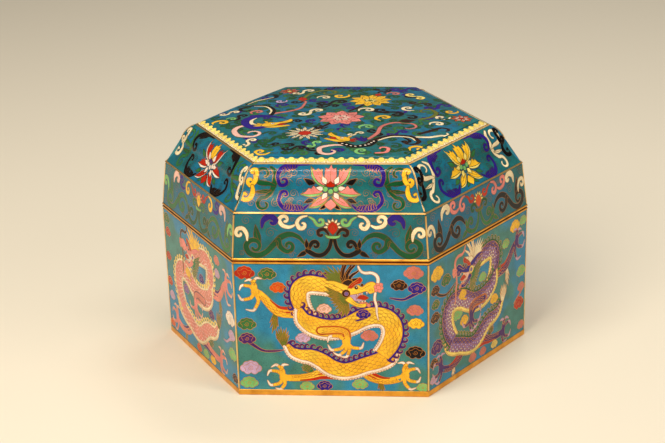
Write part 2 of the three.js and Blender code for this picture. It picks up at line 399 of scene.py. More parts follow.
class Drawing:
    # Cells and wires are laid in order, and a later one covers an earlier one.
    def __init__(self, outline, ground):
        self.points, self.faces, self.colours, self.areas, self.moves = [], [], [], [], []
        self.polygon(outline, ground)

    @contextlib.contextmanager
    def placed(self, at=0, size=1.0, angle=0.0, flip=False):
        self.moves.append((at, polar(size, angle), flip))
        yield
        self.moves.pop()

    def move(self, point):
        for at, factor, flip in reversed(self.moves):
            point = at + factor * (-point.conjugate() if flip else point)
        return point

    def scale(self):
        return math.prod(abs(factor) for at, factor, flip in self.moves)

    def polygon(self, points, colour):
        onward = points[1:] + points[:1]
        area = sum((a.conjugate() * b).imag for a, b in zip(points, onward))
        if abs(area) < 0.001 * max(abs(b - a) for a, b in zip(points, onward)):
            return  # a sliver
        start = len(self.points)
        self.points += points if area > 0 else points[::-1]
        self.faces.append(range(start, start + len(points)))
        self.colours.append(colour)
        self.areas.append(abs(area) / 2)

    def band(self, line, widths, colour):
        left, right = (besideLine(line, widths, side) for side in (1, -1))
        for a, b, c, d in zip(left, left[1:], right, right[1:]):
            self.polygon([a, c, d], colour)
            self.polygon([a, d, b], colour)

    def ribbon(self, line, widths, colour="gilt"):
        # a plain strip along a line that is smooth already
        self.band([self.move(p) for p in line], widths, colour)

    def wire(self, points, width=None, smooth=True, closed=False):
        # a bare partition wire
        line = [self.move(p) for p in points]
        if smooth:
            line = spline(line, closed)
        if closed:
            line = line + line[:1]
        width = width or cloison["width"]
        self.band(line, [width, width], "gilt")

    def cell(self, points, colour, smooth=True, rim=None):
        # one closed cell with its wire
        line = [self.move(p) for p in points]
        if smooth:
            line = spline(line, True)
        self.polygon(line, colour)
        self.band(line + line[:1], [rim or cloison["width"]] * 2, "gilt")

    def petal(self, *runs, colour, rim=None):
        # a cell with a corner where one run of points ends and the next starts
        line = []
        for run in runs:
            line += spline([self.move(p) for p in run])[:-1]
        self.polygon(line, colour)
        self.band(line + line[:1], [rim or cloison["width"]] * 2, "gilt")

    def stroke(self, points, widths, colour, smooth=True, rim=None):
        # a long cell of changing width, with a wire down each side
        line = [self.move(p) for p in points]
        if smooth:
            line = spline(line)
        rim = cloison["width"] * 0.8 if rim is None else rim
        widths = [w * self.scale() for w in widths]
        heads = directions(line)
        for extra, fill in ((rim, "gilt"), (0, colour)):
            for end, width, head in ((line[0], widths[0], -heads[0]), (line[-1], widths[-1], heads[-1])):
                reach = width / 2 + extra
                if fill == colour or extra:
                    turns = -1.57, -0.8, 0.0, 0.8, 1.57
                    self.polygon([end + head * reach * cmath.exp(1j * turn) for turn in turns], fill)
            if fill == colour or extra:
                self.band(line, [w + 2 * extra for w in widths], fill)

    def bead(self, centre, radius, colour, rim=None):
        rim = cloison["width"] * 0.8 if rim is None else rim
        radius *= self.scale()
        centre = self.move(centre)
        sides = max(8, round(radius * 8))
        for r, fill in ((radius + rim, "gilt"), (radius, colour)):
            if r > radius or fill == colour:
                self.polygon([centre + polar(r, 360 * k / sides) for k in range(sides)], fill)

    def coil(self, centre, radius, turns=1.4, start=0.0, width=None, tail=0.0):
        # a small spiral of bare wire
        parts = round(turns * 10)
        line = [
            polar(radius * (1 - 0.85 * k / parts), start + 360 * turns * k / parts)
            for k in range(parts + 1)
        ]
        if tail:
            line.insert(0, line[0] - polar(tail, start + 90))
        self.wire([centre + p for p in line], width or cloison["fine"], smooth=False)


# Colours of the fired glass; a ground has the second tone that it drifts to in patches
swatches = {
    "turquoise": ("#2B82A6", "#437F74"),
    "lidTurquoise": ("#1A6B86", "#1F6768"),
    "dragonYellow": ("#F9B82B", "#F8C93A"),
    "amberYellow": ("#F8BE2C",),
    "paleYellow": ("#F8DC72",),
    "cream": ("#F3DDAE",),
    "ivory": ("#F4E0CA",),
    "lotusPink": ("#EA8478",),
    "blush": ("#F0BBA6",),
    "rosePink": ("#CE7468",),
    "vermilion": ("#BC260A",),
    "orange": ("#D84E10",),
    "deepGreen": ("#14522C",),
    "leafGreen": ("#33703A",),
    "appleGreen": ("#7DBC6C",),
    "oliveGreen": ("#6A7024",),
    "violetBlue": ("#2A177C",),
    "plumPurple": ("#4A1E63",),
    "greyLilac": ("#7C5C98",),
    "lilac": ("#C6A4C2",),
    "black": ("#0F0A09",),
    "umberBrown": ("#2E140B",),
}


finishes = {}


def finishFor(colour):
    if colour not in finishes:
        if colour in cloisonGilts:
            finishes[colour] = giltMaterial(colour + "Cloison", cloisonGilts[colour])
        else:
            finishes[colour] = enamelMaterial(
                colour + "Enamel", swatches[colour], seed=0.05 * len(finishes),
            )
    return finishes[colour]


# Surfaces. Sizes are read from the frame's pieces, in millimetres.
layer = {
    "sink": 0.05,  # mm, the enamel's back off the metal wall
    "proud": 0.3,  # mm, its face off the wall
    "edgeGap": 0.56,  # mm beside the wire in a corner
}
slant = math.tan(math.pi / 6)


def turned(side, x, y, z):
    c, s = math.cos(side * math.pi / 3), math.sin(side * math.pi / 3)
    return Vector((x * c - y * s, x * s + y * c, z))


def sideSurface(line):
    # x runs along a side and y up its outline, given as half width + height*1j
    lengths = [0.0]
    for a, b in zip(line, line[1:]):
        lengths.append(lengths[-1] + abs(b - a))
    heads = directions(line)

    def outlineAt(v):
        i = min(max(bisect.bisect_right(lengths, v) - 1, 0), len(line) - 2)
        share = (v - lengths[i]) / (lengths[i + 1] - lengths[i])
        head = heads[i] + (heads[i + 1] - heads[i]) * min(max(share, 0), 1)
        return line[i] + (line[i + 1] - line[i]) * share, head / abs(head)

    def place(spot, lift, side):
        at, head = outlineAt(spot.imag)
        out = head * -1j
        at += out * lift
        return turned(side, spot.real, -at.real, at.imag) * mm, turned(side, 0, -out.real, out.imag)

    place.height = lengths[-1]
    place.halfAt = lambda v, edge: outlineAt(v)[0].real * slant - edge
    return place


def sideOutline(place, low, high, edge, step=None):
    # the side's border, with low and high left bare below and above
    count = 1 if step is None else max(1, round((place.height - low - high) / step))
    levels = [low + (place.height - low - high) * k / count for k in range(count + 1)]
    right = [place.halfAt(v, edge) + v * 1j for v in levels]
    return right + [-p.conjugate() for p in right[::-1]]


def levelGuides(place, low, high, edge, step):
    count = max(1, round((place.height - low - high) / step))
    guides = []
    for k in range(1, count):
        v = low + (place.height - low - high) * k / count
        half = place.halfAt(v, edge)
        guides.append([-half + v * 1j, half + v * 1j])
    return guides


# Inlay: the laid cells become one flush sheet of triangles, each with the colour laid last there
def straightened(chain, slack=0.004):
    # the points of a broken line that its shape needs
    kept = [chain[0]]
    stack = [(0, len(chain) - 1)]
    while stack:
        first, last = stack.pop()
        a, b = chain[first], chain[last]
        span = b[1] - a[1]
        worst, far = 0, slack
        for k in range(first + 1, last):
            off = chain[k][1] - a[1]
            away = abs((off * span.conjugate()).imag) / abs(span) if abs(span) > 1e-9 else abs(off)
            if away > far:
                worst, far = k, away
        if worst:
            stack.append((worst, last))
            stack.append((first, worst))
        else:
            kept.append(b)
    return kept


def covers(loop, spot):
    # whether the closed loop of points winds round the spot
    winding = 0
    for a, b in zip(loop, loop[1:] + loop[:1]):
        if (a.imag > spot.imag) != (b.imag > spot.imag):
            crossing = a.real + (b.real - a.real) * (spot.imag - a.imag) / (b.imag - a.imag)
            if spot.real < crossing:
                winding += 1 if b.imag > a.imag else -1
    return winding != 0


def flushSheet(drawing, guides=()):
    points = [Vector((p.real, p.imag)) for p in drawing.points]
    spots, _, triangles, _, _, owners = delaunay_2d_cdt(
        points, [], [tuple(f) for f in drawing.faces], 0, 1e-4, True
    )
    spots = [complex(p.x, p.y) for p in spots]
    # a face can be given triangles outside it: one whose claims weigh too much is laid by hand
    claimed = [0.0] * len(drawing.faces)
    for (a, b, c), owner in zip(triangles, owners):
        area = ((spots[b] - spots[a]).conjugate() * (spots[c] - spots[a])).imag / 2
        for number in owner:
            claimed[number] += area
    sound = [claim < 1.03 * area + 0.1 for claim, area in zip(claimed, drawing.areas)]
    middles = [(spots[a] + spots[b] + spots[c]) / 3 for a, b, c in triangles]
    relaid = {}
    for number in (n for n, good in enumerate(sound) if not good):
        loop = [drawing.points[i] for i in drawing.faces[number]]
        west, east = min(p.real for p in loop), max(p.real for p in loop)
        south, north = min(p.imag for p in loop), max(p.imag for p in loop)
        for at, middle in enumerate(middles):
            if west < middle.real < east and south < middle.imag < north and covers(loop, middle):
                relaid.setdefault(at, []).append(number)
    left = {}
    for at, (triangle, owner) in enumerate(zip(triangles, owners)):
        if 0 in owner:
            top = max([number for number in owner if sound[number]] + relaid.get(at, []))
            for k in range(3):
                left[triangle[k - 1], triangle[k]] = drawing.colours[top]
    print(f"laid {len(sound)} faces, {sound.count(False)} by hand")
    borders = {(a, b): colour for (a, b), colour in left.items() if left.get((b, a)) != colour}
    around = {}
    for a, b in borders:
        around.setdefault(a, set()).add(b)
        around.setdefault(b, set()).add(a)
    # border lines from fork to fork, with only the points that they need
    lines, seen = [], set()
    forks = [p for p in around if len(around[p]) != 2]
    for start in forks + list(around):
        for onward in around[start]:
            if (start, onward) in seen or (start in seen and len(around[start]) == 2):
                continue
            chain, before, at = [start], start, onward
            while True:
                seen.add((before, at))
                seen.add((at, before))
                chain.append(at)
                if len(around[at]) != 2 or at == start:
                    break
                seen.add(at)
                before, at = at, next(p for p in around[at] if p != before)
            sides = borders.get((chain[0], chain[1])), borders.get((chain[1], chain[0]))
            lines.append((straightened([(i, spots[i]) for i in chain]), sides))
            if len(around[start]) == 2:
                seen.add(start)
                break
    return colouredSheet(lines, guides)


def colouredSheet(lines, guides):
    # one triangle sheet between border lines that know the colour on each side of them
    index, points, edges, sides = {}, [], [], []
    for line, colours in lines:
        for (i, a), (j, b) in zip(line, line[1:]):
            if i == j:
                continue
            for key, spot in ((i, a), (j, b)):
                if key not in index:
                    index[key] = len(points)
                    points.append(Vector((spot.real, spot.imag)))
            edges.append((index[i], index[j]))
            sides.append(colours)
    for guide in guides:
        start = len(points)
        points += [Vector((p.real, p.imag)) for p in guide]
        edges += [(i, i + 1) for i in range(start, len(points) - 1)]
    spots, lanes, triangles, _, laneSources, _ = delaunay_2d_cdt(points, edges, [], 0, 1e-4, True)
    left = {}
    for (a, b), sources in zip(lanes, laneSources):
        for source in sources:
            if source < len(sides):
                i, j = edges[source]
                ahead = (spots[b] - spots[a]).dot(points[j] - points[i]) > 0
                left[a, b], left[b, a] = sides[source] if ahead else sides[source][::-1]
    owner = {}
    for number, triangle in enumerate(triangles):
        for k in range(3):
            owner[triangle[k - 1], triangle[k]] = number
    shades = [None] * len(triangles)
    known = []
    for number, triangle in enumerate(triangles):
        for k in range(3):
            edge = triangle[k - 1], triangle[k]
            if left.get(edge):
                shades[number] = left[edge]
                known.append(number)
                break
    # colour spreads inwards from the borders, glass first, so that no wire runs out over a cell
    known.sort(key=lambda number: shades[number] != "gilt")
    while known:
        number = known.pop()
        triangle = triangles[number]
        for k in range(3):
            edge = triangle[k - 1], triangle[k]
            other = owner.get((edge[1], edge[0]))
            if edge not in left and other is not None and shades[other] is None:
                shades[other] = shades[number]
                known.append(other)
    kept = [(tuple(t), shade) for t, shade in zip(triangles, shades) if shade]
    return [complex(p.x, p.y) for p in spots], [t for t, _ in kept], [shade for _, shade in kept]


def rimLoop(triangles):
    edges = {(t[k - 1], t[k]) for t in triangles for k in range(3)}
    border = {a: b for a, b in edges if (b, a) not in edges}
    start = min(border)
    loop, spot = [start], border[start]
    while spot != start:
        loop.append(spot)
        spot = border[spot]
    return loop


def backing(loop, guides):
    # triangles of the back, and the spots that they need inside the loop
    points = [Vector((p.real, p.imag)) for p in loop]
    edges = []
    for guide in guides:
        start = len(points)
        points += [Vector((p.real, p.imag)) for p in guide]
        edges += [(i, i + 1) for i in range(start, len(points) - 1)]
    spots, _, triangles, _, _, _ = delaunay_2d_cdt(points, edges, [tuple(range(len(loop)))], 1, 1e-4, True)
    return [complex(p.x, p.y) for p in spots], triangles


def inlaidPiece(name, sheets, place):
    # sheets: (sheet, guides, side, colours to swap), laid on their sides and backed down to the metal
    vertices, faces, shades, normals = [], [], [], []
    slots = {"turquoise": 0}

    def addSpot(spot, lift, side):
        at, normal = place(spot, lift, side)
        vertices.append(at)
        normals.append(normal)
        return len(vertices) - 1

    for (spots, triangles, colours), guides, side, swaps in sheets:
        used = sorted({i for t in triangles for i in t})
        index = {i: addSpot(spots[i], layer["proud"], side) for i in used}
        for triangle, colour in zip(triangles, colours):
            faces.append([index[i] for i in triangle])
            shades.append(slots.setdefault(swaps.get(colour, colour), len(slots)))
        loop = rimLoop(triangles)
        back, backTriangles = backing([spots[i] for i in loop], guides)
        first = len(vertices)
        for spot in back:
            addSpot(spot, layer["sink"], side)
            normals[-1] = -normals[-1]
        faces += [[first + i for i in reversed(t)] for t in backTriangles]
        # the rim has its own corners, so that its shading doesn't run into the faces
        wall = []
        for k, i in enumerate(loop):
            after, before = spots[loop[(k + 1) % len(loop)]], spots[loop[k - 1]]
            outward = (after - before) / (abs(after - before) or 1) * -1j
            up = addSpot(spots[i], layer["proud"], side)
            tip = place(spots[i] + outward * 0.01, layer["proud"], side)[0]
            normals[-1] = (tip - vertices[up]).normalized()
            down = addSpot(spots[i], layer["sink"], side)
            normals[-1] = normals[-2]
            wall.append((up, down))
        for k in range(len(loop)):
            (a, b), (c, d) = wall[k], wall[(k + 1) % len(loop)]
            faces.append([a, b, d, c])
        shades += [0] * (len(faces) - len(shades))
    data = bpy.data.meshes.new(name)
    data.from_pydata(vertices, [], faces)
    for colour in slots:
        data.materials.append(finishFor(colour))
    data.polygons.foreach_set("material_index", shades)
    data.polygons.foreach_set("use_smooth", [True] * len(faces))
    data.update()
    piece = bpy.data.objects.new(name, data)
    bpy.context.scene.collection.objects.link(piece)
    data.normals_split_custom_set_from_vertices(normals)
    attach(piece, "root")
    print(f"{name}: {sum(len(f) - 2 for f in faces)} triangles, {len(slots)} finishes")
    return piece


# Clouds and dragons of the body
def cloud(d, at, width, colour, tail=None):
    # lobed cloud with a scroll and an inner line of wire, some with a trailing wisp
    lobes = [
        (-0.33 - 0.02j, 0.17), (0.33 - 0.02j, 0.17), (-0.17 + 0.13j, 0.19), (0.17 + 0.14j, 0.18),
        (0.0 + 0.2j, 0.17), (-0.16 - 0.14j, 0.17), (0.16 - 0.14j, 0.17), (0j, 0.24),
    ]
    inner = [polar(0.235 + 0.035 * math.cos(math.radians(5 * t)), t + 90) for t in range(-130, 131, 10)]
    with d.placed(at, width):
        if tail:
            d.stroke([0.1 - 0.2j] + [p / width for p in tail], [0.2, 0.16, 0.11, 0.1, 0.02], colour)
        for extra, fill in ((cloison["width"] * 0.8, "gilt"), (0, colour)):
            for centre, radius in lobes:
                d.bead(centre, radius + extra / width, fill, rim=0)
        d.wire([complex(p.real * 1.35, p.imag) for p in inner], cloison["fine"], smooth=False)
        d.coil(0.01j, 0.13, 1.5, 200, tail=0.04)


def mass(d, root, heading, spread, lengths, colour, hairs, width=0.24):
    # a lock of hair as one ragged cell, with its hairs in bare wire
    teeth = len(lengths)
    edge = [root + polar(1.0, heading - spread / 2 - 60)]
    tips = []
    for k, length in enumerate(lengths):
        turn = heading + spread * ((k + 0.5) / teeth - 0.5)
        tips.append(curl(root, turn - 12, length, [30 / length, -10 / length], 6))
        edge += [tips[-1][-1], root + polar(length * 0.72, heading + spread * ((k + 1) / teeth - 0.5))]
    edge[-1] = root + polar(1.0, heading + spread / 2 + 60)
    d.cell(edge, colour, smooth=False, rim=0.3)
    for k in range(hairs):
        share = (k + 0.5) / hairs
        turn = heading + spread * (share - 0.5) * 0.94
        bare = max(1.6, hairs * 0.45 / math.radians(spread)) * (1.0 if k % 2 else 1.35)
        length = between(lengths, share) * 0.9 - bare
        d.ribbon(
            curl(root + polar(bare, turn), turn - 6, length, [20 / length, -16 / length], 5),
            [width, width],
        )


def dragonScales(d, line, widths, side, low, pitch=2.5, flecks=()):
    # rows of overlapping scales between the belly strip and the back, some with a paler fleck
    heads = directions(line)
    lengths = [0.0]
    for a, b in zip(line, line[1:]):
        lengths.append(lengths[-1] + abs(b - a))

    def onBody(far, across):
        i = min(max(bisect.bisect_right(lengths, far) - 1, 0), len(line) - 2)
        part = (far - lengths[i]) / (lengths[i + 1] - lengths[i])
        head = heads[i] + (heads[i + 1] - heads[i]) * min(max(part, 0), 1)
        return line[i] + (line[i + 1] - line[i]) * part + head / abs(head) * 1j * side * across

    for row in range(int(lengths[-1] / pitch)):
        far = (row + 0.3) * pitch
        half = between(widths, far / lengths[-1]) / 2 - 0.2
        first = low - half
        columns = max(2, round((half - first) / 2.6))
        wide = (half - first) / columns
        for column in range(columns + row % 2):
            middle = first + (column + 0.5 - 0.5 * (row % 2)) * wide
            arc = []
            if flecks:
                fleck = flecks[min(int(column * len(flecks) / columns), len(flecks) - 1)]
                d.bead(onBody(far + pitch * 0.35, middle), 0.6, fleck, 0)
            for k in range(5):
                turn = math.pi * k / 4
                across = middle - math.cos(turn) * wide / 2
                if first - 0.1 <= across <= half + 0.1:
                    arc.append(onBody(far + math.sin(turn) * pitch * 0.95, across))
            if len(arc) > 2:
                d.ribbon(arc, [0.27, 0.27])


def dragonBody(d, points, widths, side, palette):
    # side is +1 where the back lies left of the line's way
    line = spline(points)
    back = besideLine(line, widths, side)
    fin = [p + h * 1j * side * 0.55 for p, h in zip(back, directions(line))]
    # fin with hooked tips along the back, scallops along the belly
    d.ribbon(fin, [2.2, 2.2])
    for root, head in along(fin, 3.7):
        hook = curl(
            root, math.degrees(cmath.phase(head)) + 80 * side, 5.4, [2 * side, 26 * side, 74 * side], 10,
        )
        d.stroke(hook, [2.4, 1.6, 1.0, 0.5], palette["hook"], False, 0.28)
    d.ribbon(fin, [1.8, 1.8], palette["spine"])
    for at, _ in along(besideLine(line, widths, -side), 1.75):
        d.bead(at, 0.95, palette["belly"], 0.26)
    d.ribbon(lengthened(line, 0.3), [w + 0.7 for w in widths])
    d.ribbon(line, widths, palette["body"])
    if "shade" in palette:
        d.ribbon(besideLine(line, widths, side, 1.8), [3.6, 3.6], palette["shade"])
    d.ribbon(besideLine(line, widths, -side, 0.8), [1.9, 1.9])
    d.ribbon(besideLine(line, widths, -side, 0.65), [1.4, 1.4], palette["belly"])
    dragonScales(d, line, widths, side, 1.8, flecks=palette.get("flecks", ()))


def dragonPaw(d, wrist, palm, tips, palette):
    # toes that arch out and hook in again, each with a pale talon
    skin = palette["limb"]
    toes = []
    for tip in tips:
        reach = tip - palm
        bow = reach * 0.25j * (1 if (reach.real > 0) == (reach.imag > 0) else -1)
        toes.append([palm, palm + reach * 0.38 + bow, palm + reach * 0.74 + bow * 0.9])
        talon = [toes[-1][-1], palm + reach * 0.96 + bow * 0.55, tip - bow * 0.8]
        d.stroke(talon, [1.7, 1.3, 0.3], palette["talon"], rim=0.28)
    for toe in toes:
        d.stroke(toe, [2.2, 1.9, 1.6], skin)
    d.bead(palm, 2.5, skin)
    for toe in toes:
        d.stroke([palm, palm + (toe[1] - palm) * 0.8], [2.1, 1.9], skin, rim=0)
        for share in (0.45, 0.8):
            knuckle = toe[1] + (toe[2] - toe[1]) * (share - 0.3)
            across = (toe[2] - toe[1]) / abs(toe[2] - toe[1])
            d.ribbon([knuckle - across * 1j, knuckle + across * 0.6, knuckle + across * 1j], [0.25, 0.25])
    d.stroke([wrist, palm], [3.9, 4.4], skin, rim=0)


def dragonLimb(d, points, widths, palette, lineSide, flash=2.0):
    # scaled limb with a coloured flash along one side
    d.stroke(points, widths, palette["limb"])
    line = spline(points)
    last = len(line) - 1
    first = between(widths, 0)
    for extra, fill in ((0.5, "gilt"), (0, palette["limbLine"])):
        edge = besideLine(line, widths, lineSide, flash * 0.2)[: last * 4 // 5]
        d.ribbon(edge, [flash * 0.6 + extra, flash + extra, flash * 0.7 + extra, 0.3 + extra], fill)
    inner = [p + h * 1j * lineSide * first * 0.02 for p, h in zip(line, directions(line))][1 : last // 2]
    d.ribbon(inner, [0.4, 1.3, 0.9, 0.3], palette["limbLine"])
    dragonScales(d, line, widths, -lineSide, flash * 0.9, 2.2)


def dragonHead(d, palette):
    # profile to the right with the jaws apart, the mane swept back
    skin = palette["head"]
    mass(
        d, 9.6 + 63j, 219, 144, [15.5, 14.5, 12, 11, 10.5, 10.5, 11.5, 13, 14.5, 13, 9], palette["mane"],
        24,
    )
    # hair above the horn, with darker flames
    mass(d, 11 + 70j, 132, 84, [8, 9.5, 11.5, 14.5, 17, 19, 20, 19, 17, 14], palette["hairLight"], 0)
    for turn, length in ((172, 14), (162, 18), (152, 20), (142, 17), (131, 19), (118, 14), (100, 9)):
        flame = curl(12 + 70.6j, turn - 34, length, [130 / length, -190 / length, 110 / length], 5)
        d.stroke(flame, [1.6, 2.0, 1.6, 1.1, 0.3], palette["hair"], False, 0.26)
    d.petal(
        [6.4 + 70.8j, 8 + 73.6j, 11 + 75j], [11 + 75j, 13.4 + 74j, 14.4 + 71.8j],
        [14.4 + 71.8j, 10 + 69.4j, 6.4 + 70.8j], colour=palette["hair"],
    )
    # whisker over the nose and one below it
    d.stroke(
        [28.8 + 71j, 29.2 + 75.6j, 27.6 + 78.3j, 24.8 + 79.4j, 21.2 + 79.2j, 18.6 + 80.6j, 17.2 + 83.6j],
        [1.5, 1.7, 1.7, 1.6, 1.5, 1.2, 0.9], palette["whisker"],
    )
    d.stroke(
        [27.4 + 66j, 26.9 + 62j, 27.9 + 57.4j, 28.1 + 52.6j, 28.9 + 48.4j], [1.2, 1.3, 1.3, 1.1, 0.5],
        palette["whisker"],
    )
    # throat and tongue between the jaws
    d.petal(
        [12 + 65.4j, 16 + 66.4j, 19.4 + 66.2j, 19 + 63.4j, 20.6 + 61j],
        [20.6 + 61j, 17 + 60.4j, 13.4 + 61j],
        [13.4 + 61j, 11.6 + 63j, 12 + 65.4j], colour=palette["mouth"],
    )
    d.wire([16.2 + 65.6j, 15.4 + 63.4j, 16 + 61.2j], cloison["fine"])
    d.petal(
        [15.8 + 62.4j, 18.4 + 64.8j, 21 + 64.4j, 23.4 + 62.8j], [23.4 + 62.8j, 20.6 + 61.4j, 15.8 + 62.4j],
        colour="vermilion",
    )
    # lower jaw with its beard
    for k in range(5):
        d.bead(18.6 + 58.7j + (1.15 + 0.35j) * k - 0.14j * k * k, 1.1, palette["nose"], 0.26)
    d.petal(
        [8.6 + 61.4j, 11.4 + 63.4j, 13.2 + 62.4j, 14.8 + 60.2j, 17.8 + 58.8j, 21.6 + 59.2j],
        [21.6 + 59.2j, 21.4 + 57j, 18.8 + 56.4j, 15.6 + 56.9j, 12 + 58.8j, 8.6 + 61.4j], colour=skin,
    )
    d.wire([12.2 + 60.8j, 15.6 + 58.3j, 19.2 + 57.8j], cloison["fine"])
    # horn, then the upper jaw
    d.stroke([10.4 + 68.4j, 6 + 70.6j, 1.4 + 72.6j, -3.8 + 73.2j], [3.8, 3.1, 2.2, 0.6], skin)
    d.petal(
        [
            8.6 + 66.4j, 11.6 + 69.6j, 14.6 + 69.6j, 16.8 + 71.3j, 19.2 + 69.9j, 22.4 + 72.6j, 25.6 + 73.6j,
            28.2 + 72.2j,
        ],
        [28.2 + 72.2j, 28.6 + 69.4j, 26.8 + 66.6j],
        [26.8 + 66.6j, 24 + 65.6j, 21.8 + 67.2j, 17 + 65.6j, 13 + 64.8j],
        [13 + 64.8j, 10.4 + 64.8j, 8.6 + 66.4j], colour=skin,
    )
    d.coil(24.6 + 67.9j, 1.3, 1.2, -60)
    d.wire([16.8 + 69.6j, 19.2 + 68.4j, 22.4 + 70.4j, 25 + 71.6j], cloison["fine"])
    # teeth, pointing up and down
    for at, length in (
        (17.2 + 59.8j, 1.6), (19.2 + 59.8j, 1.5), (21 + 60.1j, 1.4),
        (16.6 + 65.3j, -1.5), (19.2 + 65.9j, -1.5), (22.2 + 66.8j, -1.9),
    ):
        tip = at + length * 1j
        foot = 0.6 if length > 0 else -0.6
        d.petal([at - foot, tip], [tip, at + foot], [at + foot, at - foot], colour="ivory", rim=0.22)
    # nose, brow, eye and ear
    for k in range(6):
        reach = 2.3 if k in (0, 3, 4) else 1.7
        d.bead(29.4 + 69.8j + polar(reach, 60 * k + 50), 1.15, palette["nose"], 0.26)
    d.bead(29.4 + 69.8j, 1.3, palette["nose"], 0.26)
    d.petal(
        [10.4 + 69.4j, 12.4 + 72j, 15.4 + 74.2j, 18.2 + 76.6j], [18.2 + 76.6j, 19.6 + 74.6j, 18.2 + 72.4j],
        [18.2 + 72.4j, 15.4 + 71.4j, 13 + 69j, 10.4 + 69.4j], colour="vermilion",
    )
    d.wire([12.4 + 70.6j, 15 + 72.6j, 17.2 + 73.8j], cloison["fine"])
    d.bead(15.7 + 69.5j, 1.05, "black", 0.3)
    d.bead(15.9 + 69.7j, 0.4, "ivory", 0)
    d.bead(19.3 + 71.3j, 0.8, "black", 0.26)
    d.bead(9.4 + 65.6j, 2.4, palette["ear"])
    d.bead(9.6 + 65.4j, 1.3, "greyLilac", 0.26)


def dragon(d, palette):
    # pose: head right, neck looped over, chest and C-shaped back, lower body and tail to the left
    mass(d, -30 + 29.6j, 100, 70, [8.5, 11, 13, 12, 13.5, 12.5, 13, 10, 8], palette["tuft"], 10)
    mass(d, -12 + 11.5j, 140, 62, [8, 9.5, 10, 9, 7.5], palette["tuftLight"], 7)
    dragonLimb(
        d, [2 + 11.5j, -6.8 + 11.4j, -13.6 + 9.4j, -21 + 8.4j, -27.6 + 8.2j], [7, 6.4, 5, 4.2, 4], palette,
        1,
    )
    dragonPaw(
        d, -27.6 + 8.2j, -31 + 8.6j,
        [-37 + 16.6j, -40.6 + 11.6j, -40.4 + 4.4j, -34.6 + 0.4j, -29.6 + 17.4j], palette
    )
    mass(d, 29.6 + 7j, 276, 54, [6, 7.5, 8, 7], palette["tuft"], 5)
    dragonLimb(d, [18 + 15j, 24 + 9.6j, 31 + 7.2j, 37.4 + 7.4j, 42.4 + 9j], [7, 6, 4.8, 4.2, 4], palette, 1)
    dragonPaw(
        d, 42.4 + 9j, 45 + 10.8j, [42.4 + 19.6j, 48.8 + 19.6j, 53.6 + 14.4j, 54 + 8j, 50 + 1.6j], palette,
    )
    mass(d, -34.6 + 52.6j, 262, 46, [8, 11, 14.5, 12, 10], palette["tuft"], 6)
    dragonLimb(
        d, [-17 + 53j, -25 + 52.4j, -32.4 + 53.2j, -36.8 + 56.6j, -41 + 61.6j, -44.4 + 65.2j],
        [8, 6.6, 6.4, 5.8, 4.8, 4.2], palette, -1,
    )
    dragonPaw(
        d, -44.4 + 65.2j, -46.8 + 66.2j,
        [-56.6 + 62.2j, -56 + 69j, -51.4 + 74j, -44.4 + 75.4j, -50.4 + 53.6j], palette
    )
    for side, points, widths in (
        (
            -1,
            [
                8 + 66.4j, 1 + 68.6j, -7 + 70.6j, -14 + 71j, -18.6 + 67.8j, -19.2 + 61.4j, -16.6 + 54.6j,
                -12.6 + 50j,
            ],
            [7.5, 9, 10.6, 11.6, 11.6, 11, 9.6, 6.5],
        ),
        (
            -1,
            [
                37.4 + 28.4j, 34.6 + 22.8j, 28 + 19.4j, 20.4 + 17j, 13.2 + 14.2j, 6.2 + 13.2j, -0.9 + 15.2j,
                -7.1 + 19.6j, -13.3 + 22.6j, -19.5 + 23.4j, -25 + 25.6j, -28.6 + 30.4j,
            ],
            [8.6, 11, 11.2, 10.6, 10.4, 10.4, 10.8, 10.8, 10, 8.4, 6.6, 3.2],
        ),
        (
            1,
            [
                -20.4 + 55j, -18 + 48j, -12 + 43.6j, -4 + 41.4j, 4.6 + 41.8j, 12 + 44.4j, 19 + 48.2j,
                26 + 50.2j, 32.4 + 49.4j, 36.6 + 45.4j, 37.4 + 38.8j, 35 + 31.6j, 30.4 + 25j,
            ],
            [3.8, 9.6, 12.4, 12.8, 12.4, 12.2, 12.4, 12.4, 12.4, 12.4, 12, 11.6, 10.2],
        ),
    ):
        dragonBody(d, points, widths, side, palette)
    # near forearm over the chest, edged in the limbs' second colour
    arm = [-7 + 40.6j, -1.4 + 41j, 4 + 41.2j, 8.6 + 39.6j, 9.4 + 35.4j]
    d.stroke(arm, [5.4, 5.2, 4.8, 4.6, 4.2], palette["limbLine"], rim=0.5)
    dragonLimb(d, arm, [3.9, 3.7, 3.3, 3.1, 2.9], dict(palette, limbLine=palette["limb"]), -1, 0.5)
    dragonPaw(
        d, 9.4 + 35.4j, 8.8 + 33.2j, [-2.4 + 35j, -1.8 + 29j, 2.4 + 24.6j, 7 + 22.8j, 19 + 30.6j], palette,
    )
    cloud(d, 19.8 + 51.8j, 9, palette["spot"], [-2 - 3.6j, -5 - 4.4j])
    dragonHead(d, palette)


goldDragon = {
    "body": "dragonYellow", "head": "dragonYellow", "limb": "dragonYellow", "belly": "ivory",
    "spine": "violetBlue",
    "hook": "plumPurple", "talon": "ivory", "limbLine": "vermilion", "mane": "oliveGreen",
    "hair": "umberBrown",
    "hairLight": "oliveGreen", "whisker": "ivory", "mouth": "lilac", "nose": "lotusPink",
    "ear": "umberBrown",
    "spot": "violetBlue", "tuft": "oliveGreen", "tuftLight": "leafGreen",
}
purpleDragon = {
    "flecks": ("cream", "lilac", "greyLilac"),
    "body": "greyLilac", "shade": "plumPurple", "head": "violetBlue", "limb": "plumPurple",
    "belly": "paleYellow",
    "spine": "deepGreen", "hook": "leafGreen", "talon": "lilac", "limbLine": "vermilion",
    "mane": "leafGreen",
    "hair": "cream", "hairLight": "cream", "whisker": "lotusPink", "mouth": "blush", "nose": "lotusPink",
    "ear": "paleYellow", "spot": "amberYellow", "tuft": "cream", "tuftLight": "deepGreen",
}
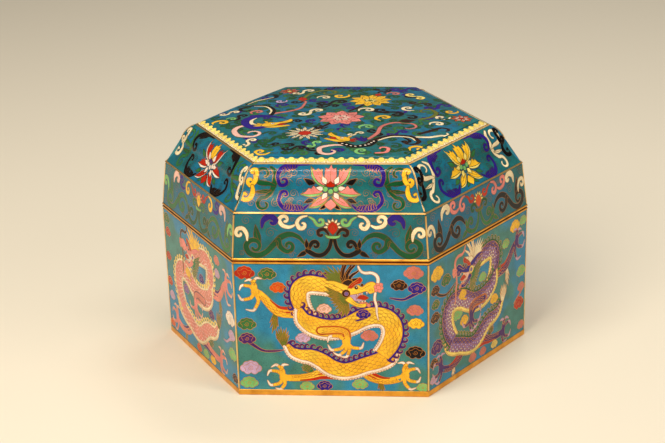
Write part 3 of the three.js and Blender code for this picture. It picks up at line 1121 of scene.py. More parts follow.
roseDragon = {
    "flecks": ("ivory", "blush", "blush"),
    "body": "lotusPink", "head": "lotusPink", "limb": "lotusPink", "belly": "cream", "spine": "cream",
    "hook": "paleYellow", "talon": "blush", "limbLine": "plumPurple", "mane": "leafGreen",
    "hair": "amberYellow",
    "hairLight": "amberYellow", "whisker": "black", "mouth": "ivory", "nose": "lotusPink", "ear": "cream",
    "spot": "amberYellow", "tuft": "oliveGreen", "tuftLight": "leafGreen",
}

# clouds: middle, width, colour and the wisp's points from the middle, mm
frontClouds = [
    (-53 + 78.6j, 12.4, "vermilion"), (-39 + 78j, 11, "leafGreen"), (-32.6 + 69j, 10, "orange"),
    (-52.8 + 44.4j, 11.4, "leafGreen"),
    (-53 + 34.6j, 10.6, "plumPurple", [9 - 7.6j, 16 - 8.2j, 22.6 - 7.4j]),
    (-51.4 + 14.8j, 13.4, "lilac"), (-52.8 + 4.6j, 11, "appleGreen"), (-16.4 + 2.6j, 8.6, "appleGreen"),
    (-5.4 + 3j, 9.6, "violetBlue"), (16.8 + 4.4j, 9.6, "appleGreen"), (56 + 2.6j, 8, "appleGreen"),
    (51.6 + 26.2j, 12, "black"), (52.2 + 45.8j, 10, "amberYellow"), (51.6 + 54.6j, 10, "rosePink"),
    (42 + 71.2j, 10, "umberBrown"), (53 + 69.4j, 11, "violetBlue", [-4 - 5.4j, -9 - 7.6j, -16.6 - 6.6j]),
    (51 + 79.4j, 12, "rosePink"), (23.2 + 37.4j, 10.4, "rosePink"), (-4.4 + 55.2j, 9, "blush"),
    (-18.2 + 35.4j, 9, "lilac"),
]
rightClouds = [
    (-50 + 75.4j, 14, "amberYellow"), (-39.6 + 68j, 11, "leafGreen"),
    (-52 + 65j, 9.4, "umberBrown", [6 - 5j, 14 - 6.4j, 24 - 2j]), (-51.6 + 55.6j, 9, "leafGreen"),
    (-52 + 47j, 10.4, "umberBrown"), (-49.6 + 26.4j, 14, "plumPurple"), (-53 + 16.8j, 9, "umberBrown"),
    (-53.4 + 5.4j, 8, "lilac"), (-25.6 + 40j, 11, "appleGreen"), (-17.6 + 33.4j, 9.6, "amberYellow"),
    (-6.8 + 3.6j, 9, "rosePink"), (6 + 3.6j, 8, "rosePink"), (19.4 + 35.4j, 9.4, "amberYellow"),
    (4.4 + 55.6j, 9, "appleGreen"), (44.6 + 77.6j, 12, "amberYellow"), (55 + 78.6j, 9, "appleGreen"),
    (33 + 69j, 9, "appleGreen"), (53.6 + 43.6j, 11, "appleGreen"),
    (54 + 32.4j, 8.6, "rosePink", [-1 - 4j, -5 - 6.4j, -9 - 9j]), (51.4 + 21.6j, 12, "vermilion"),
    (54.6 + 5j, 8.6, "rosePink"), (20.4 + 3.4j, 8, "paleYellow"),
]
leftClouds = [
    (-53 + 69.6j, 9, "vermilion"), (-54 + 79j, 10, "leafGreen"), (33 + 77.6j, 9, "rosePink"),
    (32.4 + 68.6j, 9, "lilac"), (4.4 + 55.4j, 9, "violetBlue"), (-54.6 + 52j, 8.6, "vermilion"),
    (-55 + 34j, 9, "vermilion"), (51 + 44.6j, 14, "ivory"),
    (52 + 33.6j, 10, "lilac", [-4 - 4j, -9 - 7j, -14 - 7.4j]),
    (18.6 + 35.6j, 9.6, "plumPurple"), (51.6 + 20.6j, 12, "appleGreen"), (17 + 3.6j, 9, "amberYellow"),
    (54 + 5j, 9, "umberBrown"), (-52.4 + 24.6j, 9, "lilac"), (5 + 3.4j, 9, "appleGreen"),
    (-7 + 3.4j, 8, "orange"), (-24.6 + 38.6j, 9.6, "greyLilac"), (-54.6 + 4j, 8, "orange"),
]


def bodySide(outline, palette, clouds, flip):
    d = Drawing(outline, "turquoise")
    for plan in clouds:
        cloud(d, *plan)
    with d.placed(flip=flip):
        dragon(d, palette)
    return d


def zOf(node, end):
    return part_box(node)[end].z / mm


# Shape: the driving sizes of the metal, mm, which the enamel follows
shape = {
    "mouthHalf": 103.9,
    "mouthHeight": 90.0,
    "bodyLean": 1.3,
    "skirtHeight": 30.5,
    "skirtLean": 2.9,
    "hollow": {"rise": 14.0, "inset": 9.2, "foot": (0.55, 0.36), "top": (0.13, 0.36)},
    "round": {"rise": 11.4, "inset": 9.2, "foot": (0.11, 0.53), "top": (0.43, 0.11)},
    "bandWidth": 5.2,
    "bandRise": 2.7,
    "domeRise": 2.8,
    "domeFullness": 0.3,
}


def sweepLine(start, sweep, parts=24):
    # cubic curve from a corner of the outline, its handles given as shares of the sweep
    span = complex(-sweep["inset"], sweep["rise"])
    shares = [complex(*sweep["foot"]), 1 + 1j - complex(*sweep["top"])]
    handles = [
        start, *(start + complex(span.real * s.real, span.imag * s.imag) for s in shares), start + span
    ]
    return [
        sum(h * math.comb(3, k) * (1 - t) ** (3 - k) * t**k for k, h in enumerate(handles))
        for t in (i / parts for i in range(parts + 1))
    ]


mouth = shape["mouthHalf"] + shape["mouthHeight"] * 1j
shoulderLine = mouth + complex(-shape["skirtLean"], shape["skirtHeight"])
hollowLine = sweepLine(shoulderLine, shape["hollow"])
roundLine = sweepLine(hollowLine[-1], shape["round"])
crownEdge = roundLine[-1]
fieldEdge = crownEdge + complex(-shape["bandWidth"], shape["bandRise"])


def straightLine(low, high, lowZ, highZ):
    slope = (high - low) / (high - low).imag
    return [low + slope * (lowZ - low.imag), low + slope * (highZ - low.imag)]


bodySurface = sideSurface(
    straightLine(
        shape["mouthHalf"] - shape["bodyLean"] + 0j, mouth, zOf("foot_frame", 1), zOf("box_body", 1) + 0.3,
    )
)
skirtSurface = sideSurface(straightLine(mouth, shoulderLine, zOf("lid_rim", 1), shoulderLine.imag))
shoulderSurface = sideSurface(hollowLine + roundLine[1:])
bandSurface = sideSurface([crownEdge, fieldEdge])


def domePlace(spot, lift, side):
    # the field on the top: x and y as seen from above
    def height(p):
        fall = 1.0
        for axis in (30, 90, 150):
            fall *= 1 - min(abs((p * polar(1, -axis)).real) / fieldEdge.real, 1) ** 2
        return fieldEdge.imag + shape["domeRise"] * fall ** shape["domeFullness"]

    step = 0.1
    east, north = ((height(spot + d) - height(spot - d)) / (2 * step) for d in (step, step * 1j))
    normal = Vector((-east, -north, 1)).normalized()
    return (Vector((spot.real, spot.imag, height(spot))) + normal * lift) * mm, normal


# Body: six flat sides, each with a dragon among clouds
bodyPlan = {
    "gap": 0.08,  # mm above the foot and below the rim
}


def bodyOutline():
    return sideOutline(bodySurface, bodyPlan["gap"], bodyPlan["gap"], layer["edgeGap"])


bodySheets = {
    "gold": flushSheet(bodySide(bodyOutline(), goldDragon, frontClouds, False)),
    "purple": flushSheet(bodySide(bodyOutline(), purpleDragon, rightClouds, True)),
    "rose": flushSheet(bodySide(bodyOutline(), roseDragon, leftClouds, True)),
    # plainer, for the sides at the back
    "back": flushSheet(bodySide(bodyOutline(), goldDragon, frontClouds[::2], True)),
}
bodyOrder = ("gold", "purple", "back", "back", "back", "rose")
backSwaps = {
    2: {"dragonYellow": "lotusPink", "violetBlue": "cream", "plumPurple": "paleYellow"},
    4: {"dragonYellow": "greyLilac", "violetBlue": "deepGreen", "plumPurple": "leafGreen"},
}
for side, key in enumerate(bodyOrder):
    sheet = bodySheets[key], [], side, backSwaps.get(side, {})
    inlaidPiece(f"body_enamel_{side + 1}", [sheet], bodySurface)


# Ornament of the lid: scrolls, leaves and lotus flowers
def scroll(d, stem, eye, turns, widths, colour, inner=0.3):
    # a stem that winds in round an eye, turns counted counter-clockwise
    start = stem[-1] - eye
    parts = max(5, round(abs(turns) * 11))
    winding = [
        eye + start * (1 - (1 - inner) * k / parts) * cmath.exp(2j * math.pi * turns * k / parts)
        for k in range(1, parts + 1)
    ]
    d.stroke(stem + winding, widths, colour)


def spiralGround(d, spacing, radius, inside):
    # small spirals of bare wire in staggered rows, which hold the ground's glass
    for row in range(-16, 17):
        for column in range(-17, 18):
            at = complex((column + 0.5 * (row % 2)) * spacing, row * spacing * 0.87)
            if inside(at):
                d.coil(at, radius, 1.6, (row * 97 + column * 61) % 360, 0.26, radius * 0.9)


def leaf(d, root, tip, width, colour, bow=0.0, vein=True):
    reach = tip - root
    across = reach / abs(reach) * 1j
    middle = root + reach * 0.42 + across * bow
    d.petal(
        [root, middle + across * width / 2, tip],
        [tip, middle - across * width / 2, root],
        colour=colour,
    )
    if vein:
        d.wire([root + reach * 0.12, middle, root + reach * 0.8 + across * bow * 0.5], cloison["fine"])


def fringed(d, stem, eye, turns, widths, colour, fringe, teeth, side, length=3.0):
    # a scroll with a comb of short leaves down one side of its stem
    scroll(d, stem, eye, turns, widths, colour)
    line = spline(stem)
    heads = directions(line)
    for k in range(teeth):
        share = fringe[0] + (fringe[1] - fringe[0]) * k / max(teeth - 1, 1)
        i = min(int(share * (len(line) - 1)), len(line) - 1)
        out = heads[i] * 1j * side
        root = line[i] + out * 0.5
        grown = length * (0.7 + 0.5 * math.sin(math.pi * (k + 1) / (teeth + 1)))
        d.stroke(
            [root, root + out * grown * 0.6 + heads[i] * 0.2, root + out * grown + heads[i] * 1.3],
            [1.2, 1.0, 0.3], colour, rim=0.3,
        )


def lotus(d, palette):
    # side view, 27 mm wide: a tall bud between petals that open downwards, drawn round the heart
    petal, edge, inner = palette["petal"], palette["edge"], palette["inner"]

    def both(draw):
        for flip in (False, True):
            with d.placed(flip=flip):
                draw()

    def leaves():
        for root, tip, width, bow in (
            (-9.4 + 2.6j, -16.6 + 6.0j, 3.4, 0.5), (-9.6 - 7.0j, -16.4 - 9.4j, 3.0, -0.4),
            (-2.8 - 9.6j, -6.8 - 13.8j, 2.4, 0.8),
        ):
            leaf(d, root, tip, width, palette["leaf"], bow, vein=False)

    def lowPetal():
        d.petal(
            [-1.8 - 4.6j, -6.2 - 5.2j, -9.4 - 7.6j, -13.2 - 12.6j],
            [-13.2 - 12.6j, -8.0 - 12.4j, -3.6 - 9.6j, -0.6 - 5.6j], [-0.6 - 5.6j, -1.8 - 4.6j],
            colour=edge,
        )
        d.petal(
            [-2.2 - 5.0j, -6.2 - 5.8j, -9.2 - 8.2j, -12.4 - 12.0j],
            [-12.4 - 12.0j, -7.4 - 11.0j, -3.4 - 8.4j, -1.4 - 5.8j], [-1.4 - 5.8j, -2.2 - 5.0j],
            colour=petal,
        )
        d.wire([-3.4 - 6.4j, -6.4 - 8.2j, -8.8 - 9.6j], cloison["fine"])

    def sidePetal():
        d.petal(
            [-5.4 - 1.6j, -7.6 + 1.4j, -9.0 + 0.4j], [-9.0 + 0.4j, -10.4 + 1.6j, -12.0 - 0.4j],
            [-12.0 - 0.4j, -13.4 + 0.2j, -15.2 - 2.0j, -18.6 - 3.8j],
            [-18.6 - 3.8j, -13.0 - 5.4j, -7.4 - 4.6j, -4.4 - 3.0j], [-4.4 - 3.0j, -5.4 - 1.6j], colour=edge,
        )
        d.petal(
            [-5.6 - 1.4j, -7.6 + 1.4j, -9.0 + 0.4j], [-9.0 + 0.4j, -10.4 + 1.6j, -12.0 - 0.4j],
            [-12.0 - 0.4j, -13.4 + 0.2j, -15.2 - 2.0j, -17.8 - 3.6j],
            [-17.8 - 3.6j, -12.6 - 3.8j, -7.4 - 3.2j, -5.2 - 2.4j], [-5.2 - 2.4j, -5.6 - 1.4j],
            colour=petal,
        )

    def highPetal():
        d.petal(
            [-3.4 + 2.0j, -4.8 + 7.0j, -5.4 + 12.4j], [-5.4 + 12.4j, -6.4 + 10.4j, -7.8 + 12.8j],
            [-7.8 + 12.8j, -9.2 + 10.6j, -12.4 + 14.6j],
            [-12.4 + 14.6j, -11.6 + 7.6j, -8.8 + 3.0j, -4.0 + 0.2j], [-4.0 + 0.2j, -3.4 + 2.0j],
            colour=edge,
        )
        d.petal(
            [-3.6 + 2.2j, -4.8 + 7.0j, -5.4 + 12.4j], [-5.4 + 12.4j, -6.4 + 10.4j, -7.8 + 12.8j],
            [-7.8 + 12.8j, -9.2 + 10.6j, -11.8 + 13.4j],
            [-11.8 + 13.4j, -10.2 + 7.4j, -7.6 + 3.8j, -4.2 + 1.6j], [-4.2 + 1.6j, -3.6 + 2.2j],
            colour=petal,
        )
        d.wire([-5.0 + 4.0j, -6.8 + 7.0j, -8.0 + 10.0j], cloison["fine"])

    both(leaves)
    d.petal([0.2 - 6.8j, -3.4 - 10.6j, 0.2 - 14.0j], [0.2 - 14.0j, 3.6 - 10.6j, 0.2 - 6.8j], colour=petal)
    both(lowPetal)
    both(sidePetal)
    both(highPetal)
    d.petal(
        [-2.2 + 2.2j, -3.6 + 7.4j, -3.2 + 13.2j], [-3.2 + 13.2j, -1.4 + 12.2j, 0.0 + 16.0j],
        [0.0 + 16.0j, 1.4 + 12.2j, 3.2 + 13.2j], [3.2 + 13.2j, 3.6 + 7.4j, 2.2 + 2.2j],
        [2.2 + 2.2j, -2.2 + 2.2j], colour=palette["bud"],
    )
    d.wire([0.0 + 4.0j, 0.0 + 11.0j], cloison["fine"], smooth=False)
    d.cell(
        [-3.4 + 3.2j, -2.0 + 0.9j, 2.0 + 0.9j, 3.4 + 3.2j, 1.5 + 2.9j, 0.0 + 4.4j, -1.5 + 2.9j],
        palette["heart"],
    )

    def innerPetals():
        for root, tip, width in (
            (-2.6 + 2.2j, -5.2 + 7.4j, 3.4), (-3.8 - 0.6j, -9.4 + 0.4j, 3.2),
            (-2.0 - 2.6j, -5.4 - 7.2j, 3.4),
        ):
            leaf(d, root, tip, width, inner, vein=False)

    both(innerPetals)
    for at in (-3.2 - 0.6j, 3.2 - 0.6j, 0.0 - 2.0j):
        d.bead(at, 1.5, palette["pod"])


pinkLotus = {
    "petal": "lotusPink", "edge": "appleGreen", "inner": "ivory", "bud": "lotusPink", "heart": "vermilion",
    "pod": "appleGreen", "leaf": "black",
}
yellowLotus = {
    "petal": "amberYellow", "edge": "paleYellow", "inner": "paleYellow", "bud": "amberYellow",
    "heart": "vermilion", "pod": "appleGreen", "leaf": "leafGreen",
}
redLotus = {
    "petal": "vermilion", "edge": "ivory", "inner": "ivory", "bud": "amberYellow", "heart": "plumPurple",
    "pod": "ivory", "leaf": "leafGreen",
}


# Skirt of the lid
def skirtHalf(d, palette):
    # left half: end wave with a leaf, leafy scroll from the middle, scroll pair, comma and small hooks
    wave = palette["wave"]
    leaf(d, -44.4 + 9.0j, -47.4 + 21.6j, 4.4, wave, 0.8)
    scroll(
        d,
        [
            -17.4 + 9.4j, -21.0 + 13.6j, -26.4 + 15.4j, -32.0 + 13.4j, -36.4 + 8.8j, -41.0 + 4.2j,
            -46.6 + 1.9j, -51.6 + 3.6j, -53.4 + 7.4j,
        ],
        -48.2 + 7.4j, -0.9, [0.8, 2.2, 3.0, 3.4, 3.2, 3.0, 3.2, 3.2, 3.0, 2.6, 1.8, 1.4], wave,
    )
    scroll(
        d, [-33.4 + 12.0j, -32.4 + 7.6j, -29.2 + 4.8j], -27.4 + 8.0j, 0.85, [3.0, 2.8, 2.4, 2.0, 1.4], wave,
    )
    d.wire([-36.2 + 10.4j, -34.2 + 11.4j, -33.4 + 9.0j, -34.4 + 6.4j], cloison["fine"])
    scroll(
        d, [-22.6 + 21.6j, -26.4 + 19.9j, -30.6 + 20.9j, -32.6 + 24.0j], -29.4 + 24.4j, -0.75,
        [0.7, 2.0, 2.5, 2.4, 2.0, 1.6], palette["pairA"],
    )
    scroll(
        d, [-15.6 + 27.0j, -19.4 + 26.0j, -21.8 + 22.8j, -20.6 + 19.6j], -18.6 + 21.6j, 0.6,
        [0.8, 1.6, 2.2, 2.6, 2.2, 1.2], palette["pairB"],
    )
    scroll(
        d, [-43.4 + 19.4j, -42.4 + 24.0j, -38.4 + 26.6j, -34.8 + 24.4j], -37.4 + 23.4j, -0.35,
        [0.8, 2.6, 3.8, 3.8, 3.0, 1.8], palette["comma"],
    )
    scroll(
        d, [-14.4 + 26.4j, -11.6 + 24.6j, -9.4 + 21.4j, -6.6 + 21.4j], -7.6 + 23.6j, 0.6,
        [0.6, 1.4, 1.9, 1.9, 1.6, 1.0], palette["smallComma"],
    )
    # leafy scroll from the base of the bud
    base = palette["base"]
    leaf(d, -15.4 + 5.4j, -22.4 + 1.0j, 3.0, base, 0.2, vein=False)
    leaf(d, -15.2 + 5.4j, -16.4 + 12.8j, 2.8, base, 0.3, vein=False)
    scroll(d, [-14.8 + 6.0j, -13.4 + 9.4j], -10.8 + 8.6j, -0.85, [1.4, 2.2, 2.2, 1.8, 1.0], base)
    d.stroke(
        [-1.0 + 12.0j, -2.4 + 6.8j, -6.0 + 2.8j, -10.8 + 2.4j, -15.8 + 5.2j], [1.8, 2.0, 2.2, 2.6, 2.8],
        base,
    )
    d.coil(-15.0 + 6.4j, 1.2, 1.2, 40)
    scroll(
        d, [-2.6 + 15.6j, -5.2 + 18.6j, -8.4 + 18.0j], -7.0 + 15.8j, 0.5, [1.0, 1.8, 1.9, 1.2],
        palette["sprout"],
    )
    for at, radius in (
        (-53.0 + 24.2j, 3.0), (-38.2 + 16.4j, 3.2), (-13.4 + 16.6j, 2.6), (-25.4 + 2.6j, 2.0),
        (-56.0 + 3.4j, 1.8), (-24.8 + 24.6j, 1.4),
    ):
        d.coil(at, radius, 1.7, 60, tail=radius)


def skirtSide(outline, palette):
    d = Drawing(outline, "lidTurquoise")
    for flip in (False, True):
        with d.placed(2.0 + 0j):
            with d.placed(flip=flip):
                skirtHalf(d, palette)
        with d.placed(flip=flip):
            scroll(
                d, [-50.6 + 11.4j, -50.9 + 15.6j, -53.2 + 18.8j, -56.4 + 18.6j, -57.6 + 16.0j],
                -55.2 + 15.8j, 0.5, [0.8, 2.2, 2.6, 2.4, 2.0, 1.4], palette["hook"],
            )
    # bud in the middle
    with d.placed(2.0 + 0j):
        d.cell(
            [-4.8 + 15.4j, -3.2 + 13.0j, 3.2 + 13.0j, 4.8 + 15.4j, 2.6 + 14.6j, -2.6 + 14.6j],
            palette["calyx"],
        )
        for k in range(7):
            turn = 180 - 30 * k
            at = 0.0 + 20.0j + polar(4.6, turn)
            leaf(
                d, 0.0 + 20.0j + polar(2.4, turn), 0.0 + 20.0j + polar(5.8, turn), 1.7, palette["fan"],
                vein=False,
            )
        d.petal(
            [0.0 + 15.0j, -2.9 + 18.4j, -2.6 + 21.4j, 0.0 + 23.6j],
            [0.0 + 23.6j, 2.6 + 21.4j, 2.9 + 18.4j, 0.0 + 15.0j], colour=palette["bud"],
        )
        d.wire([-1.2 + 18.4j, 0.0 + 21.0j, 1.2 + 18.4j], cloison["fine"])
    return d


frontSkirt = {
    "wave": "deepGreen", "pairA": "cream", "pairB": "cream", "comma": "violetBlue",
    "smallComma": "appleGreen", "base": "black", "sprout": "umberBrown", "hook": "cream",
    "calyx": "appleGreen", "fan": "cream", "bud": "vermilion",
}
rightSkirt = {
    "wave": "black", "pairA": "lotusPink", "pairB": "lotusPink", "comma": "cream",
    "smallComma": "vermilion", "base": "leafGreen", "sprout": "deepGreen", "hook": "cream",
    "calyx": "oliveGreen", "fan": "paleYellow", "bud": "orange",
}
leftSkirt = {
    "wave": "leafGreen", "pairA": "violetBlue", "pairB": "amberYellow", "comma": "blush",
    "smallComma": "vermilion", "base": "deepGreen", "sprout": "leafGreen", "hook": "appleGreen",
    "calyx": "appleGreen", "fan": "lotusPink", "bud": "amberYellow",
}


# Shoulder of the lid
def shoulderHalf(d, palette):
    frameColour, wave = palette["frame"], palette["wave"]
    scroll(
        d, [-37.0 + 29.4j, -34.0 + 25.6j, -34.4 + 19.0j, -36.4 + 14.0j, -39.6 + 10.4j], -40.6 + 5.6j, 0.9,
        [1.2, 2.6, 3.0, 2.6, 2.2, 2.2, 2.0, 1.4, 1.0], wave,
    )
    scroll(
        d, [-34.6 + 17.6j, -37.6 + 18.6j, -43.6 + 19.4j], -41.0 + 24.4j, -0.85,
        [1.2, 2.4, 2.8, 2.6, 2.0, 1.4, 1.0], wave,
    )
    leaf(d, -36.0 + 14.6j, -47.0 + 13.4j, 2.6, wave, 0.4)
    fringed(
        d, [-13.6 + 31.4j, -20.4 + 31.5j, -27.0 + 30.4j, -31.2 + 27.0j, -32.4 + 22.8j, -31.2 + 18.4j],
        -28.8 + 20.4j, 0.75, [0.8, 2.0, 3.4, 3.2, 2.4, 2.0, 1.8, 1.4], frameColour, (0.3, 0.62), 6, 1,
    )
    fringed(
        d, [-13.2 + 5.6j, -16.8 + 2.6j, -22.6 + 1.6j, -28.6 + 3.6j, -31.6 + 8.0j, -30.6 + 12.4j],
        -28.0 + 12.0j, -0.7, [0.7, 2.0, 3.2, 3.0, 2.2, 2.0, 1.6, 1.2], frameColour, (0.22, 0.62), 7, -1,
    )
    d.coil(-25.4 + 24.2j, 2.2, 1.5, 200)
    d.coil(-24.4 + 8.0j, 2.2, 1.5, 30)


def shoulderEnd(d, colour):
    scroll(
        d, [-45.2 + 24.6j, -45.8 + 20.6j, -48.4 + 17.6j], -48.6 + 20.2j, -0.6, [1.9, 2.6, 2.6, 2.2, 1.4],
        colour,
    )
    scroll(d, [-44.8 + 24.0j, -45.6 + 27.6j], -47.0 + 25.8j, 0.5, [2.2, 2.2, 1.4], colour)
    scroll(
        d, [-47.6 + 17.2j, -47.4 + 13.4j, -49.2 + 9.4j, -52.6 + 8.6j], -52.0 + 11.4j, -0.55,
        [1.8, 2.8, 2.8, 2.4, 2.0, 1.4], colour,
    )


def shoulderSide(outline, palette):
    d = Drawing(outline, "lidTurquoise")
    spiralGround(d, 7.4, 2.5, lambda at: 1 < at.imag < 32 and abs(at.real) < 57 - at.imag * 0.3)
    for flip in (False, True):
        with d.placed(0.4 + 0j):
            with d.placed(flip=flip):
                shoulderHalf(d, palette)
        with d.placed(flip=flip):
            shoulderEnd(d, palette["end"])
    with d.placed(0.4 + 16.0j):
        lotus(d, palette["lotus"])
    return d


frontShoulder = {"frame": "violetBlue", "wave": "deepGreen", "end": "amberYellow", "lotus": pinkLotus}
rightShoulder = {"frame": "violetBlue", "wave": "cream", "end": "black", "lotus": yellowLotus}
leftShoulder = {"frame": "black", "wave": "leafGreen", "end": "cream", "lotus": redLotus}


# Border of lappets round the top
def lappetSide(outline, place, count=15):
    d = Drawing(outline, "cream")
    low, high = place.halfAt(0.5, 0), place.halfAt(place.height, 0)
    pitch = (low + high) / count
    d.polygon([-low + 4.3j, low + 4.3j, low + 7.0j, -low + 7.0j], "lidTurquoise")
    for k in range(count + 1):
        u = (k - count / 2) * pitch
        d.petal([u + 0.7j, u - 1.5 + 2.4j, u - 2.6 + 5.0j], [u - 2.6 + 5.0j, u + 4.2j, u + 2.6 + 5.0j],
                [u + 2.6 + 5.0j, u + 1.5 + 2.4j, u + 0.7j], colour="paleYellow", rim=0.2)
    for k in range(count):
        u = (k + 0.5 - count / 2) * pitch
        d.petal(
            [u - 2.7 + 0.9j, u - 2.7 + 2.6j, u - 1.6 + 4.3j], [u - 1.6 + 4.3j, u + 5.1j, u + 1.6 + 4.3j],
            [u + 1.6 + 4.3j, u + 2.7 + 2.6j, u + 2.7 + 0.9j], [u + 2.7 + 0.9j, u - 2.7 + 0.9j],
            colour="cream", rim=0.2,
        )
        d.bead(u + 3.6j, 2.0, "paleYellow", rim=0.2)
    d.wire([-low + 0.75j, low + 0.75j], 0.5, smooth=False)
    return d


# Field on the top, x and y from the middle as seen from above
def blossom(d, at, radius, layers, heart):
    # open flower: rings of pointed petals, outermost first, each ring (petals, inner, outer, width, colour)
    with d.placed(at, radius):
        for number, (count, inner, outer, width, colour) in enumerate(layers):
            for k in range(count):
                turn = 360 * (k + 0.5 * (number % 2)) / count + 12
                leaf(d, polar(inner, turn), polar(outer, turn), width, colour)
        d.bead(0, heart[0], heart[1])


def bud(d, root, tip, colour):
    reach = tip - root
    for turn in (40, -40):
        leaf(d, root, root + reach * polar(0.75, turn), abs(reach) * 0.3, "leafGreen", vein=False)
    leaf(d, root, tip, abs(reach) * 0.62, colour)


def smallScroll(d, kind, at, size, angle, colour, flip=False):
    with d.placed(at, size, angle, flip):
        if kind == "C":
            scroll(d, [-4.0 - 1.4j, -3.0 + 2.0j, 0.6 + 3.4j, 3.8 + 1.6j, 3.8 - 1.4j], 1.7 - 0.2j, -0.6,
                   [0.7, 1.6, 2.1, 2.1, 1.9, 1.6, 1.1], colour)
        else:
            for half in (0, 180):
                with d.placed(0, 1, half):
                    scroll(
                        d, [0j, 2.2 + 2.2j, 5.4 + 2.4j, 7.0 + 0.2j], 4.7 - 0.2j, -0.65,
                        [1.5, 2.0, 2.1, 1.9, 1.6, 1.1], colour,
                    )


def kuiHead(d, at, size, angle, flip, palette):
    # long-snouted head to the right, its neck root at the origin
    with d.placed(at, size, angle, flip):
        for tip, width in ((-5.0 + 6.4j, 2.4), (-6.2 + 2.6j, 2.4), (-2.0 + 8.6j, 2.2)):
            leaf(d, 2.0 + 1.4j, tip, width, palette["mane"], 0.5, vein=False)
        leaf(d, 7.4 - 0.6j, 15.4 - 1.2j, 4.0, "vermilion", vein=False)
        d.petal([-1.0 - 1.0j, 2.6 - 2.4j, 7.0 - 2.2j, 12.6 - 3.4j], [12.6 - 3.4j, 15.0 - 3.6j, 16.2 - 6.0j],
                [16.2 - 6.0j, 11.0 - 6.2j, 4.2 - 5.4j, -1.0 - 1.0j], colour=palette["head"])
        d.petal(
            [-1.0 + 0.6j, 1.6 + 4.6j, 6.2 + 5.6j, 9.4 + 3.8j, 15.0 + 4.4j, 20.6 + 7.4j],
            [20.6 + 7.4j, 19.8 + 2.8j, 16.0 + 0.8j, 11.6 + 1.0j, 8.0 - 1.4j, 3.4 - 2.2j, -1.0 + 0.6j],
            colour=palette["head"],
        )
        d.bead(7.0 + 2.6j, 1.1, "ivory")
        d.bead(7.2 + 2.6j, 0.5, "black", rim=0)
        d.wire([12.0 + 2.6j, 15.0 + 2.6j, 17.6 + 4.0j], cloison["fine"])
        leaf(d, 4.6 + 4.8j, 3.6 + 9.6j, 2.2, palette["head"], -0.3, vein=False)


def leftKui(d):
    # tail spirals, then stem and neck, then the head over them
    scroll(
        d, [-47.5 + 1.0j, -44.5 + 7.0j, -35.0 + 12.0j, -28.4 + 19.0j, -26.6 + 31.0j], -30.6 + 35.0j, 0.25,
        [2.6, 2.6, 2.3, 2.0, 1.6, 1.2], "rosePink",
    )
    scroll(
        d, [-28.6 + 44.0j, -25.4 + 55.0j, -18.6 + 62.6j, -10.6 + 62.0j], -14.0 + 56.6j, -0.7,
        [2.0, 2.4, 2.4, 2.0, 1.6, 1.2], "oliveGreen",
    )
    bud(d, -28.0 + 36.0j, -30.6 + 46.0j, "vermilion")
    scroll(
        d, [-46.4 + 4.0j, -46.0 + 14.0j, -51.0 + 24.4j, -60.0 + 27.0j, -67.6 + 21.6j], -63.0 + 17.4j, 0.5,
        [3.0, 3.2, 3.0, 2.6, 2.2, 1.6], "black",
    )
    d.stroke(
        [-47.6 + 6.0j, -47.4 + 14.6j, -52.0 + 23.6j, -60.0 + 25.8j], [0.8, 1.3, 1.2, 0.6], "cream", rim=0.2,
    )
    scroll(
        d, [-66.0 + 30.0j, -61.0 + 38.4j, -54.6 + 42.6j, -48.6 + 46.0j], -53.4 + 50.4j, 0.55,
        [1.2, 2.4, 2.8, 3.0, 2.4, 1.4], "black",
    )
    d.stroke(
        [-65.0 + 31.0j, -60.6 + 38.6j, -54.8 + 43.0j, -49.6 + 46.6j], [0.6, 1.3, 1.4, 0.8], "cream",
        rim=0.2,
    )
    scroll(
        d, [-55.0 - 22.0j, -62.6 - 19.4j, -66.4 - 27.0j, -62.6 - 38.0j, -54.4 - 41.4j], -54.6 - 34.4j, 0.7,
        [1.6, 3.0, 3.6, 3.6, 3.0, 2.4, 1.8, 1.4], "blush",
    )
    d.wire([-57.0 - 21.4j, -62.4 - 22.0j, -64.6 - 28.0j, -61.8 - 36.0j], cloison["fine"])
    d.stroke(
        [
            -36.0 - 4.6j, -44.0 - 0.2j, -53.6 + 1.4j, -60.4 - 5.4j, -60.0 - 15.0j, -54.0 - 23.4j,
            -47.0 - 21.0j,
        ],
        [0.8, 3.2, 5.6, 6.6, 6.4, 5.8, 5.0], "violetBlue",
    )
    d.stroke(
        [-55.0 - 2.4j, -57.6 - 8.0j, -56.4 - 15.0j, -50.6 - 19.4j], [0.6, 2.2, 2.6, 2.2], "cream", rim=0.25,
    )
    kuiHead(d, -49.0 - 20.6j, 1.05, 22, False, {"mane": "amberYellow", "head": "amberYellow"})


